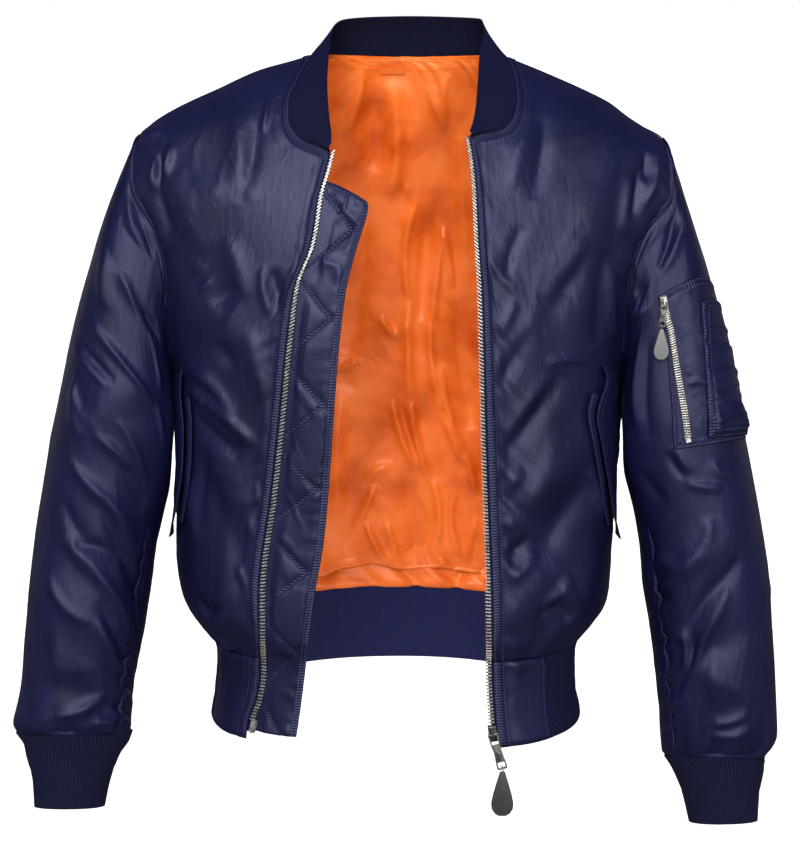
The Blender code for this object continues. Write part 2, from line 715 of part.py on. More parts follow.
def panel_walls(grid, normals, shifts, relief):
    """Outer and inner points of a shell panel, with its seam steps."""
    skin = grid + normals * relief[..., None] + shifts
    return skin, skin - normals * SHELL


def front_normals(side, grid):
    """Thickness directions of a front, shared with its neighbours along the seams."""
    normals = body_normal(FRONT, grid)
    _, angles = pattern_heights(side)
    normals[:SIDE_ROWS + 1, 0] = side_normals(side, grid[:SIDE_ROWS + 1, 0])
    normals[SIDE_ROWS:, 0] = armhole_normal(side, FRONT, angles)
    normals[-1, 1:-1] = shoulder_normals(grid[-1])[1:-1]
    normals[-1, -1] = neck_point_normal(side)
    normals[0] = hem_normals(grid[0])
    return normals


def make_front(side, name):
    """One front of the shell."""
    grid = front_grid(side)
    normals = front_normals(side, grid)
    shifts = np.zeros_like(grid)
    outward = np.array([side, 0, 0])
    shifts[:SIDE_ROWS + 1, 0] += seam_shift(grid[:SIDE_ROWS + 1, 0], normals[:SIDE_ROWS + 1, 0], (0, -1, 0))
    shifts[SIDE_ROWS:, 0] += seam_shift(grid[SIDE_ROWS:, 0], normals[SIDE_ROWS:, 0], -outward)
    shifts[-1] += seam_shift(grid[-1], normals[-1], (0, -1, 0))
    shifts[0] += seam_shift(grid[0], normals[0], (0, 0, 1))
    neck = slice(len(grid) - 1 - NECK_ROWS, len(grid))
    shifts[neck, -1] += seam_shift(grid[neck, -1], normals[neck, -1], neck_away(grid[neck, -1]))
    relief = folds(FRONT_FOLDS[side], grid[..., 0], grid[..., 2]) * edge_fade(*grid.shape[:2])
    skin, lining = panel_walls(grid, normals, shifts, relief)
    wall(name, skin, lining, SATIN)
    return grid, normals, skin


def back_normals(grid):
    """Thickness directions of the back, shared with its neighbours along the seams."""
    normals = body_normal(BACK, grid)
    _, angles = pattern_heights(RIGHT)
    for side, end in ((RIGHT, 0), (LEFT, -1)):
        normals[:SIDE_ROWS + 1, end] = side_normals(side, grid[:SIDE_ROWS + 1, end])
        normals[SIDE_ROWS:, end] = armhole_normal(side, BACK, angles)
    right = slice(1, SHOULDER_COLUMNS)
    left = slice(SHOULDER_COLUMNS + NECK_COLUMNS + 1, -1)
    normals[-1, right] = shoulder_normals(grid[-1, :SHOULDER_COLUMNS + 1])[1:-1]
    normals[-1, left] = shoulder_normals(grid[-1, SHOULDER_COLUMNS + NECK_COLUMNS:])[1:-1]
    normals[-1, SHOULDER_COLUMNS] = neck_point_normal(RIGHT)
    normals[-1, SHOULDER_COLUMNS + NECK_COLUMNS] = neck_point_normal(LEFT)
    normals[0] = hem_normals(grid[0])
    return normals


def make_back():
    """The back of the shell."""
    grid = back_grid()
    normals = back_normals(grid)
    shifts = np.zeros_like(grid)
    for side, end in ((RIGHT, 0), (LEFT, -1)):
        low = slice(0, SIDE_ROWS + 1)
        high = slice(SIDE_ROWS, len(grid))
        shifts[low, end] += seam_shift(grid[low, end], normals[low, end], (0, 1, 0))
        shifts[high, end] += seam_shift(grid[high, end], normals[high, end], (-side, 0, 0))
    shifts[0] += seam_shift(grid[0], normals[0], (0, 0, 1))
    first = SHOULDER_COLUMNS
    last = SHOULDER_COLUMNS + NECK_COLUMNS
    for part in (slice(0, first + 1), slice(last, None)):
        shifts[-1, part] += seam_shift(grid[-1, part], normals[-1, part], (0, 1, 0))
    neck = slice(first, last + 1)
    shifts[-1, neck] += seam_shift(grid[-1, neck], normals[-1, neck], neck_away(grid[-1, neck]))
    relief = folds(BACK_FOLDS, grid[..., 0], grid[..., 2]) * edge_fade(*grid.shape[:2])
    skin, lining = panel_walls(grid, normals, shifts, relief)
    wall("back_panel", skin, lining, SATIN)
    return grid, normals, skin


# ---- sleeves and cuffs ----------------------------------------------------------------------------
def sleeve_base(side, angle, way):
    """Sleeve section before it is eased onto the armhole: 0 outside, 90 in front, 180 inside."""
    turn = np.radians(angle)
    columns = (read(SLEEVE[side], column, way) for column in range(1, 8))
    outer_x, outer_z, inner_x, inner_z, middle, depth, lift = columns
    power = 2 / SLEEVE_ROUND
    over = np.sign(np.cos(turn)) * np.abs(np.cos(turn)) ** power
    ahead = np.sign(np.sin(turn)) * np.abs(np.sin(turn)) ** power
    x = (outer_x + inner_x) / 2 + (outer_x - inner_x) / 2 * over
    z = (outer_z + inner_z) / 2 + (outer_z - inner_z) / 2 * over + lift * ahead
    return np.stack([side * x, middle - depth * ahead, z], axis=-1)


def sleeve_point(side, angle, way):
    """A point of a sleeve's outer surface."""
    angle, way = np.broadcast_arrays(np.asarray(angle, float), np.asarray(way, float))
    front = armhole(side, FRONT, np.minimum(angle, 360 - angle))
    back = armhole(side, BACK, np.minimum(angle, 360 - angle))
    ring = np.where((angle <= 180)[..., None], front, back)
    ease = read(SLEEVE_EASE, 1, way)[..., None]
    point = sleeve_base(side, angle, way) + ease * (ring - sleeve_base(side, angle, np.zeros_like(way)))
    face = np.where(point[..., 1] < 0, FRONT, BACK)
    depth = np.where(face == FRONT, read(TORSO, 3, point[..., 2]), read(TORSO, 4, point[..., 2]))
    square = read(TORSO, 5, point[..., 2])
    share = (1 - np.clip(np.abs(point[..., 1]) / depth, 0, 1) ** square) ** (1 / square)
    limit = half_width(side, FRONT, np.minimum(point[..., 2], ARMPIT - 1e-6)) * share
    limit = limit + BODY_CLEARANCE * np.clip(way / 24, 0, 1)
    limit = limit + POCKET_CLEARANCE * np.clip((ARMPIT - 8 - point[..., 2]) / 50, 0, 1)
    below = point[..., 2] < ARMPIT - 1e-3
    x = np.where(below, np.maximum(np.abs(point[..., 0]), limit), np.abs(point[..., 0]))
    away = BODY_CLEARANCE * np.clip(way / 24, 0, 1) - 14 * np.clip((way - 30) / 100, 0, 1)
    seam = np.abs(ring[..., 0]) + away
    under = np.abs(angle - 180) < 100
    x = np.where(under, np.maximum(x, seam), x)
    return np.stack([side * x, point[..., 1], point[..., 2]], axis=-1)


def sleeve_normal(side, angle, way):
    """Outward direction of a sleeve's surface."""
    around = sleeve_point(side, (angle + 2) % 360, way) - sleeve_point(side, (angle - 2) % 360, way)
    down = sleeve_point(side, angle, way + 2) - sleeve_point(side, angle, np.maximum(way - 2, 0))
    return unit(np.cross(around, down) * side)


def sleeve_grid(side, ways):
    """Outer points and thickness directions of a sleeve or cuff."""
    angles = np.arange(2 * ARMHOLE_ROWS) * 180.0 / ARMHOLE_ROWS
    angle, way = np.meshgrid(angles, np.asarray(ways, float))
    grid = sleeve_point(side, angle, way)
    normals = sleeve_normal(side, angle, way)
    return grid, normals, angle, way


def ring_shift(ring, normals, toward):
    """Seam step of a closed ring of points."""
    closed = np.concatenate([ring[-1:], ring, ring[:1]])
    around = np.concatenate([normals[-1:], normals, normals[:1]])
    return seam_shift(closed, around, toward)[1:-1]


def make_sleeve(side, name):
    """One sleeve of the shell, from armhole to cuff seam."""
    grid, normals, angle, way = sleeve_grid(side, [*SLEEVE_WAYS, CUFF_SEAM[side]])
    half = np.minimum(angle[0], 360 - angle[0])
    front = armhole_normal(side, FRONT, half)
    back = armhole_normal(side, BACK, half)
    normals[0] = np.where((angle[0] <= 180)[:, None], front, back)
    shifts = np.zeros_like(grid)
    shifts[0] = ring_shift(grid[0], normals[0], (side, 0, 0))
    shifts[-1] = ring_shift(grid[-1], normals[-1], (0, 0, 1))
    fade = np.clip(np.minimum(way / 60, (CUFF_SEAM[side] - way) / 40), 0, 1)
    calm = np.clip((np.abs(angle - 180) - 25) / 25, 0, 1)
    fade = np.where(way < 420, fade * calm, fade)
    relief = folds(SLEEVE_FOLDS[side], angle, way, stretch=1.15) * fade
    skin = grid + normals * relief[..., None] + shifts
    wall(name, skin, skin - normals * SHELL, SATIN, tube=True)
    return skin, normals


def make_cuff(side, name):
    """A rib-knit cuff."""
    seam = CUFF_SEAM[side]
    ways = np.linspace(seam, CUFF_END[side], 4)
    grid, normals, _, _ = sleeve_grid(side, ways)
    _, seam_normals, _, _ = sleeve_grid(side, [seam])
    normals[0] = seam_normals[0]
    grid[0] += ring_shift(grid[0], normals[0], (0, 0, -1))
    closed = np.concatenate([grid, grid[:, :1]], axis=1)
    around = np.concatenate([normals, normals[:, :1]], axis=1)
    skin = ribbed(closed, around, ribs=2)[:, :-1]
    wall(name, skin, grid - normals * RIB_CLOTH, RIB, tube=True)


# ---- collar and hem -------------------------------------------------------------------------------
def collar_base(fronts, back, back_way):
    """The neck seam from the right zip end round the nape to the left one, with its directions."""
    first = SHOULDER_COLUMNS
    last = SHOULDER_COLUMNS + NECK_COLUMNS
    pieces = [
        (fronts[RIGHT][0][-1 - NECK_ROWS:, -1], fronts[RIGHT][1][-1 - NECK_ROWS:, -1]),
        (back[-1, first + 1:last], back_way[-1, first + 1:last]),
        (fronts[LEFT][0][-1 - NECK_ROWS:, -1][::-1], fronts[LEFT][1][-1 - NECK_ROWS:, -1][::-1]),
    ]
    line = np.concatenate([piece[0] for piece in pieces])
    normals = np.concatenate([piece[1] for piece in pieces])
    return line, normals


def make_collar(line, seam_normals):
    """The rib-knit collar, a band that narrows towards its two front ends."""
    steps = np.concatenate([[0], np.cumsum(np.linalg.norm(np.diff(line, axis=0), axis=1))])
    way = steps / steps[-1]
    edge = np.stack([read(COLLAR_EDGE, column, way) for column in (1, 2, 3)], axis=-1)
    heights = (0.0, 0.35, 0.7, 1.0)
    along = unit(np.gradient((line + edge) / 2, axis=0))
    out = unit(np.cross(edge - line, along))
    out = out * np.sign(np.sum(out * seam_normals, axis=-1, keepdims=True))
    rows = []
    normals = []
    for height in heights:
        bow = 4 * height * (1 - height)
        rows.append(line * (1 - height) + edge * height + out * 3.0 * bow)
        tilt = out if height > 0 else unit(seam_normals)
        normals.append(tilt)
    rows = np.array(rows)
    normals = np.array(normals)
    corner = np.minimum(np.abs(line[:, 0] + NECK_POINT[RIGHT]), np.abs(line[:, 0] - NECK_POINT[LEFT]))
    ease = SEAM_GAP / 2 + 0.8 * np.exp(-(np.hypot(corner, line[:, 1] - 4) / 18) ** 2)
    rows[0] += seam_shift(rows[0], normals[0], -neck_away(rows[0]), ease[:, None])
    wall("collar_rib", ribbed(rows, normals, ribs=3), rows - normals * RIB_CLOTH, RIB)


def hem_ring(height):
    """One level of the hem, from the right front edge round the back to the left front edge."""
    halves = []
    for side in (RIGHT, LEFT):
        start = side * half_width(side, FRONT, np.array(height - 1e-6))
        column = 1 if side == RIGHT else 2
        end = side * (read(ZIP_LINE, column, height) + CLOTH_TO_TEETH)
        x = start + (end - start) * SWEEP
        halves.append(row_across(FRONT, x, height + 0 * x, np.linspace(0, 1, FRONT_COLUMNS + 1)))
    share = (1 - np.cos(np.linspace(0, math.pi, 301))) - 1
    ends = [half_width(side, BACK, np.array(height - 1e-6)) for side in (RIGHT, LEFT)]
    x = np.where(share < 0, ends[0], ends[1]) * share
    columns = 2 * SHOULDER_COLUMNS + NECK_COLUMNS
    behind = row_across(BACK, x, height + 0 * x, np.linspace(0, 1, columns + 1))
    return np.concatenate([halves[0][::-1], behind[1:-1], halves[1]])


def make_hem():
    """The rib-knit hem and the satin tab at each of its ends."""
    levels = (HEM_SEAM, (HEM_SEAM + HEM_END) / 2, HEM_END)
    grid = np.array([hem_ring(level) for level in levels])
    normals = np.array([hem_normals(row) for row in grid])
    grid[0] += seam_shift(grid[0], normals[0], (0, 0, -1))
    right = TAB_COLUMNS[RIGHT]
    left = grid.shape[1] - 1 - TAB_COLUMNS[LEFT]
    along = unit(np.gradient(grid, axis=1)) * SEAM_GAP / 2
    parts = {
        "hem_tab_right": (slice(0, right + 1), 0, -1, SATIN),
        "hem_tab_left": (slice(left, None), 1, 0, SATIN),
        "hem_rib": (slice(right, left + 1), 1, -1, RIB),
    }
    for name, (columns, start, end, finish) in parts.items():
        rows = grid[:, columns].copy()
        out = normals[:, columns]
        if start:
            rows[:, 0] += along[:, columns][:, 0]
        if end:
            rows[:, -1] -= along[:, columns][:, -1]
        if finish is RIB:
            wall(name, ribbed(rows, out, ribs=3), rows - out * RIB_CLOTH, finish)
        else:
            wall(name, rows, rows - out * SHELL, finish)
    return grid, normals


# ---- pieces that lie on the panels ----------------------------------------------------------------
def between(grid, row, column):
    """Values of a grid at fractional rows and columns, carried on straight past its edges."""
    row, column = np.broadcast_arrays(np.asarray(row, float), np.asarray(column, float))
    top = np.clip(np.floor(row).astype(int), 0, grid.shape[0] - 2)
    left = np.clip(np.floor(column).astype(int), 0, grid.shape[1] - 2)
    down = (row - top)[..., None]
    over = (column - left)[..., None]
    upper = grid[top, left] * (1 - over) + grid[top, left + 1] * over
    lower = grid[top + 1, left] * (1 - over) + grid[top + 1, left + 1] * over
    return upper * (1 - down) + lower * down


def on_cloth(cloth, row, column, lift):
    """Points at a height over a cloth, which is its skin and thickness directions."""
    skin, normals = cloth
    return between(skin, row, column) + between(normals, row, column) * np.asarray(lift)[..., None]


def find_spot(skin, x, z):
    """Fractional row and column of the place on a front with the given x and z."""
    row = np.full(np.shape(x), skin.shape[0] / 2.0)
    column = np.full(np.shape(x), skin.shape[1] / 2.0)
    for _ in range(25):
        here = between(skin, row, column)
        beside = between(skin, row, column + 0.5)
        above = between(skin, row + 0.5, column)
        column = column + np.clip((x - here[..., 0]) / (beside[..., 0] - here[..., 0]) * 0.5, -1, 1)
        row = row + np.clip((z - here[..., 2]) / (above[..., 2] - here[..., 2]) * 0.5, -1, 1)
    return row, column


def stops(first, last):
    """The two ends and every whole number between them."""
    whole = np.arange(math.ceil(min(first, last) + 0.15), math.floor(max(first, last) - 0.15) + 1)
    return np.concatenate([[min(first, last)], whole, [max(first, last)]])


def make_pocket(side, word, cloth):
    """Side-entry pocket: a flap that is free along its front edge, and the welt before the slit."""
    table = POCKET_EDGE[side]
    z = np.linspace(table[0][0], table[-1][0], 10)
    edge = side * read(table, 1, z)
    front_lift = read(table, 2, z)
    row, column = find_spot(cloth[0], edge, z)
    cell = np.linalg.norm(between(cloth[0], row, column) - between(cloth[0], row, column - 1), axis=-1)
    share = np.array([0.0, 0.3, 0.65, 1.0])
    back_step = POCKET_FLAP_WIDTH / cell
    columns = column[:, None] - back_step[:, None] * share
    lift = 0.5 + (front_lift[:, None] - 0.5) * (1 - share) ** 1.6
    under = on_cloth(cloth, row[:, None] + 0 * columns, columns, lift)
    over = on_cloth(cloth, row[:, None] + 0 * columns, columns, lift + POCKET_CLOTH)
    wall(f"pocket_flap_{word}", over, under, SATIN)
    middle = slice(1, -2)
    across = column[middle, None] + np.array([4.0, 12.0]) / cell[middle, None]
    rows = row[middle, None] + 0 * across
    under = on_cloth(cloth, rows, across, 0 * across + WELT_LIFT[side])
    over = on_cloth(cloth, rows, across, 0 * across + WELT_LIFT[side] + WELT_CLOTH)
    wall(f"pocket_welt_{word}", over, under, SATIN)


def make_hanger_loop(face, inward):
    """Short strap stitched across the lining below the nape."""
    columns = stops(*np.interp(LOOP_ENDS, face[-1, :, 0], np.arange(face.shape[1])))
    heights = face[:, int(columns.mean()), 2]
    rows = np.interp(LOOP_HEIGHTS, heights, np.arange(len(heights)))
    row, column = np.meshgrid(rows, columns, indexing="ij")
    over = on_cloth((face, -inward), row, column, LOOP_LIFT + LOOP_CLOTH + 0 * row)
    under = on_cloth((face, -inward), row, column, LOOP_LIFT + 0 * row)
    wall("hanger_loop", over, under, LINING)


def patch_spots(patch, knots, levels):
    """Angles and ways of a patch's grid, on the sleeve's own rows and columns where it has them."""
    top, foot, front = patch
    angles = []
    ways = []
    for hold, share in (*levels, (None, 1)):
        edge = float(front[0][1])
        for _ in range(4):
            start = read(top, 1, edge)
            way = read(foot, 1, edge) if hold is None else start + (hold - start) * share
            edge = read(front, 1, way)
        row = [float(top[0][0])]
        for knot in knots:
            row.append(min(knot, row[-1] + 0.7 * (edge - row[-1])))
        row = np.array([*row, edge])
        start = read(top, 1, row)
        angles.append(row)
        ways.append(read(foot, 1, row) if hold is None else start + (hold - start) * share)
    return np.array(angles), np.array(ways)


def make_patch(name, cloth, angle, way, low, thick, finish):
    """A piece stitched on the left sleeve, over the given angles and ways of its skin."""
    row = sleeve_row(LEFT, way)
    column = angle * 2 * ARMHOLE_ROWS / 360
    over = on_cloth(cloth, row, column, low + thick + 0 * row)
    under = on_cloth(cloth, row, column, low + 0 * row)
    return wall(name, over, under, finish)


def sleeve_row(side, way):
    """Fractional row of a sleeve's skin at a way down it."""
    ways = [*SLEEVE_WAYS, CUFF_SEAM[side]]
    return np.interp(way, ways, np.arange(len(ways)))


# ---- zip, wind flap and pulls ---------------------------------------------------------------------
def zip_strip(side, front, hem):
    """Two columns of skin and directions beside an opening edge, from the hem's end up to the collar."""
    top = SIDE_ROWS + ARMHOLE_ROWS - NECK_ROWS
    ends = [1, 0] if side == RIGHT else [-2, -1]
    parts = []
    for panel, low in ((front[2], hem[0]), (front[1], hem[1])):
        parts.append(np.concatenate([low[::-1][:, ends], panel[1:top + 1, -2:]]))
    return parts


def zip_point(strip, z, away, lift):
    """A point beside the opening edge: away towards the opening, lift over the cloth."""
    skin, normals = strip
    z, away, lift = np.broadcast_arrays(*(np.asarray(value, float) for value in (z, away, lift)))
    row = np.interp(z, skin[:, 1, 2], np.arange(len(skin)))
    edge = between(skin, row, np.ones_like(row))
    beside = between(skin, row, np.zeros_like(row))
    width = np.linalg.norm(edge - beside, axis=-1)
    share = np.clip(1 + away / width, 0, 1)
    along = (away / width)[..., None]
    return edge + (edge - beside) * along + between(normals, row, share) * lift[..., None]


def strip_heights(strip, first, last):
    """Heights of a strip's own rows between two ends, so that what lies beside it bends with it."""
    own = strip[0][:, 1, 2]
    own = own[(own > first + 4) & (own < last - 4)]
    return np.concatenate([[first], own, [last]])


def make_bar(name, strip, heights, aways, lifts, finish):
    """A bar beside the opening edge with a rectangular section."""
    z, away = np.meshgrid(heights, aways, indexing="ij")
    wall(name, zip_point(strip, z, away, lifts[1]), zip_point(strip, z, away, lifts[0]), finish)


def make_wind_flap():
    """Quilted flap behind the zip of the wearer's right front."""
    rows = front_edge(RIGHT)[1]
    top = rows[(rows > -520) & (rows < -120)]
    low = [FLAP_EDGE[0][0], (HEM_SEAM + HEM_END) / 2]
    heights = np.concatenate([low, rows[:2], resample_line(top, 2), [FLAP_TOP]])
    share = np.linspace(0, 1, 6)[None, :]
    height = heights[:, None] - FLAP_SLANT * share**1.5 * np.clip((heights[:, None] + 170) / 60, 0, 1)
    teeth = read(ZIP_LINE, 1, height)
    free = read(FLAP_EDGE, 1, height)
    x = -((teeth + 7) * (1 - share) + free * share)
    points = body_point(FRONT, x, height)
    normals = body_normal(FRONT, points)
    diamond = np.abs(np.sin(math.pi * (x + height) / 65) * np.sin(math.pi * (x - height) / 65))
    clear = np.clip((teeth + x - 6) / 8, 0, 1)
    outer = points - normals * (FLAP_DEPTH - 1.6 * diamond * clear)[..., None]
    wall("wind_flap", outer, points - normals * (FLAP_DEPTH + FLAP_CLOTH), SATIN)


def plate(name, rows, holes, thick, frame, finish):
    """A flat piece with windows: rows of (down, half width, half window), made in a frame.

    The frame is its origin, its direction across and its direction down; thickness lies along y.
    """
    origin, across, down = frame
    out = np.array([0.0, 1.0, 0.0])
    shape = bmesh.new()
    layers = []
    for level in (-thick / 2, thick / 2):
        layer = []
        for away, half, window in rows:
            spots = [-half, -window, window, half]
            centre = origin + down * away + out * level
            layer.append([shape.verts.new((centre + across * u) * MM) for u in spots])
        layers.append(layer)
    front, behind = layers
    for row in range(len(rows) - 1):
        for cell in (0, 1, 2):
            if cell == 1 and row in holes:
                continue
            for layer in (front, behind):
                above, below = layer[row], layer[row + 1]
                shape.faces.new((above[cell], above[cell + 1], below[cell + 1], below[cell]))
        for spot in (0, 3):
            ring = (front[row][spot], front[row + 1][spot], behind[row + 1][spot], behind[row][spot])
            shape.faces.new(ring)
        if row in holes:
            for spot in (1, 2):
                ring = (front[row][spot], front[row + 1][spot], behind[row + 1][spot], behind[row][spot])
                shape.faces.new(ring)
            for end in (row, row + 1):
                shape.faces.new((front[end][1], front[end][2], behind[end][2], behind[end][1]))
    for end in (0, len(rows) - 1):
        for cell in (0, 1, 2):
            near, far = front[end], behind[end]
            shape.faces.new((near[cell], near[cell + 1], far[cell + 1], far[cell]))
    bmesh.ops.recalc_face_normals(shape, faces=shape.faces)
    mesh = bpy.data.meshes.new(name)
    shape.to_mesh(mesh)
    shape.free()
    return add_object(name, mesh, finish, smooth=False)


def extruded(name, outline, width, frame, finish):
    """A profile of (down, out) points carried across, half the width to each side."""
    origin, across, down = frame
    out = np.array([0.0, -1.0, 0.0])
    shape = bmesh.new()
    ends = []
    for shift in (-width / 2, width / 2):
        centre = origin + across * shift
        ends.append([shape.verts.new((centre + down * a + out * b) * MM) for a, b in outline])
    shape.faces.new(ends[0])
    shape.faces.new(ends[1][::-1])
    for at in range(len(outline)):
        nxt = (at + 1) % len(outline)
        shape.faces.new((ends[0][at], ends[1][at], ends[1][nxt], ends[0][nxt]))
    bmesh.ops.recalc_face_normals(shape, faces=shape.faces)
    mesh = bpy.data.meshes.new(name)
    shape.to_mesh(mesh)
    shape.free()
    return add_object(name, mesh, finish, smooth=False)


def make_ring(name, centre, across, middle, wire, finish):
    """A wire ring round an axis."""
    side_way = unit(np.cross(across, (0.0, 1.0, 0.0)))
    shape = bmesh.new()
    loops = []
    for turn in np.radians(np.arange(0, 360, 24)):
        away = np.array([0.0, 1.0, 0.0]) * math.cos(turn) + side_way * math.sin(turn)
        spots = [
            centre + away * (middle + wire * math.cos(a)) + across * wire * math.sin(a)
            for a in np.radians(np.arange(0, 360, 60))
        ]
        loops.append([shape.verts.new(spot * MM) for spot in spots])
    for at, loop in enumerate(loops):
        after = loops[(at + 1) % len(loops)]
        for k in range(len(loop)):
            nxt = (k + 1) % len(loop)
            shape.faces.new((loop[k], loop[nxt], after[nxt], after[k]))
    bmesh.ops.recalc_face_normals(shape, faces=shape.faces)
    mesh = bpy.data.meshes.new(name)
    shape.to_mesh(mesh)
    shape.free()
    return add_object(name, mesh, finish)


def lean(degrees):
    """Directions across and down of a piece that leans in the plane of the front."""
    turn = math.radians(degrees)
    return np.array([math.cos(turn), 0.0, math.sin(turn)]), np.array([math.sin(turn), 0.0, -math.cos(turn)])


def make_pull(word, pin, slider_lean, slider_back, tab_lean, scale, drop_finish):
    """Slider body, crown, tab, loop and drop of one zip, round the pin under the crown."""
    across, down = lean(slider_lean)
    face = SLIDER_PIN * scale
    deep = pin[1] + face - slider_back
    block = [
        (-7.0 * scale, deep), (-7.0 * scale, -face - 1.0), (-6.0 * scale, -face), (6.0 * scale, -face),
        (7.0 * scale, -face - 1.0), (7.0 * scale, deep),
    ]
    extruded(f"{word}_slider", block, SLIDER_WIDTH * min(scale, 1.0), (pin, across, down), METAL)
    crown = [(a * scale, b * scale - face) for a, b in CROWN]
    crown = [(a, max(b, SEAM_GAP - face)) for a, b in crown]
    extruded(f"{word}_crown", crown, CROWN_WIDTH * scale, (pin, across, down), METAL)
    across, down = lean(tab_lean)
    rows = [(away * scale, half * scale, window * scale) for away, half, window in TAB]
    plate(f"{word}_tab", rows, TAB_WINDOWS, TAB_THICK * scale, (pin, across, down), TAB_GREY)
    bar = pin + down * TAB_BAR * scale
    make_ring(f"{word}_loop", bar, across, LOOP_MIDDLE * scale, LOOP_WIRE * scale, METAL)
    rows = [(away * scale, half * scale, half * scale * 0.4) for away, half in DROP]
    level = (np.array([1.0, 0.0, 0.0]), np.array([0.0, 0.0, -1.0]))
    top = bar + level[1] * ((LOOP_MIDDLE + LOOP_WIRE) * scale + SEAM_GAP)
    plate(f"{word}_drop", rows, (), DROP_THICK * scale, (top, *level), drop_finish)


# ---- build ----------------------------------------------------------------------------------------
for old in list(bpy.data.objects):
    bpy.data.objects.remove(old)
jacket = bpy.data.collections.new("bomber_jacket")
bpy.context.scene.collection.children.link(jacket)

SATIN = material("navy_satin", (0.012, 0.014, 0.06), 0.4)
RIB = material("navy_rib_knit", (0.009, 0.011, 0.045), 0.9)
LINING = material("orange_lining", (0.75, 0.13, 0.03), 0.45)
METAL = material("zip_metal", (0.55, 0.54, 0.5), 0.35, 1.0)
TAB_GREY = material("grey_tab_metal", (0.11, 0.12, 0.1), 0.4, 0.8)
DROP_BLACK = material("black_rubber_pull", (0.022, 0.022, 0.022), 0.6)
DROP_GREY = material("grey_rubber_pull", (0.09, 0.09, 0.09), 0.6)

fronts = {
    RIGHT: make_front(RIGHT, "front_right"),
    LEFT: make_front(LEFT, "front_left"),
}
back = make_back()
sleeves = {}
for side, word in ((RIGHT, "right"), (LEFT, "left")):
    sleeves[side] = make_sleeve(side, f"sleeve_{word}")
    make_cuff(side, f"cuff_{word}")
make_collar(*collar_base(fronts, back[0], back[1]))
hem = make_hem()

for side, word in ((RIGHT, "right"), (LEFT, "left")):
    make_pocket(side, word, (fronts[side][2], fronts[side][1]))
    strip = zip_strip(side, fronts[side], hem)
    top = strip[0][-1, 1, 2] - 1.0
    low = ZIP_BOTTOM + PIN_LENGTH + SEAM_GAP if side == RIGHT else SLIDER_Z + 9.2
    heights = strip_heights(strip, ZIP_BOTTOM, top)
    make_bar(f"zip_tape_{word}", strip, heights, TAPE_ACROSS, TAPE_LIFT, SATIN)
    heights = strip_heights(strip, low, top)
    make_bar(f"zip_chain_{word}", strip, heights, CHAIN_ACROSS, CHAIN_LIFT, METAL)
    if side == RIGHT:
        make_bar("zip_pin", strip, (ZIP_BOTTOM, ZIP_BOTTOM + PIN_LENGTH), (1.5, 7.0), (-4.6, -0.8), METAL)
make_wind_flap()

middle = zip_point(strip, SLIDER_Z, 5.0, -2.6)
beside = np.linspace(ZIP_BOTTOM - 4, SLIDER_Z + 10, 5)[:, None]
cloth_front = zip_point(strip, beside, np.array([[-14, -7, 0]]), 0)
pin_y = min(middle[1] - 3.0 - SLIDER_PIN * MAIN_PULL_SCALE, cloth_front[..., 1].min() - 2.6)
pin = np.array([middle[0], pin_y, middle[2]])
make_pull("main", pin, MAIN_SLIDER_LEAN, middle[1] + 3.2, MAIN_TAB_LEAN, MAIN_PULL_SCALE, DROP_BLACK)

arm = sleeves[LEFT]
degree = 2 * ARMHOLE_ROWS / 360
spots = patch_spots(SLEEVE_POCKET, SLEEVE_POCKET_KNOTS, SLEEVE_POCKET_ROWS)
make_patch("sleeve_pocket", arm, *spots, PATCH_LIFTS[0], PATCH_CLOTH, SATIN)
spots = patch_spots(PEN_POCKET, PEN_POCKET_KNOTS, PEN_POCKET_ROWS)
make_patch("pen_pocket", arm, *spots, PATCH_LIFTS[1], PATCH_CLOTH, SATIN)
chain = np.array(POCKET_CHAIN, float)
angle = chain[:, 1:] + np.array([-POCKET_CHAIN_HALF, POCKET_CHAIN_HALF])
way = chain[:, :1] + 0 * angle
make_patch("pocket_chain", arm, angle, way, POCKET_CHAIN_LIFT, POCKET_CHAIN_THICK, METAL)

angle, way = POCKET_SLIDER_SPOT
seat = on_cloth(arm, sleeve_row(LEFT, way), angle * degree, np.array(0.0))
reach = on_cloth(arm, sleeve_row(LEFT, way + np.arange(-4, 62, 6.0))[:, None],
                 np.linspace(72, 98, 6)[None, :] * degree, np.zeros((11, 6)))
pin_y = min(seat[1] - 2.7 - 3.0, reach[..., 1].min() - 5.9)
pin = np.array([seat[0], pin_y, seat[2]])
make_pull("pocket", pin, POCKET_SLIDER_LEAN, seat[1] - 1.8, POCKET_TAB_LEAN, POCKET_PULL_SCALE, DROP_GREY)

skin = back[2][LINING_ROWS, :]
inward = back[1][LINING_ROWS, :]
fade = edge_fade(*skin.shape[:2], reach=1.5)
inner_folds = folds(LINING_FOLDS, skin[..., 0], skin[..., 2]) * fade
face = skin - inward * (SHELL + LINING_GAP + inner_folds)[..., None]
wall("lining_back", face, face - inward * LINING_CLOTH, LINING)
make_hanger_loop(face - inward * LINING_CLOTH, inward)
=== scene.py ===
"""Looks of the bomber jacket: satin panels with their creases, rib knit, lining, zip, pockets and pulls.

The frame is the part's own: +Z up, -Y the front, +X the wearer's left. Tables are in millimetres, and every
mesh is made in metres.
"""
import math

import bmesh
import bpy
import numpy as np
from mathutils import Matrix, Vector


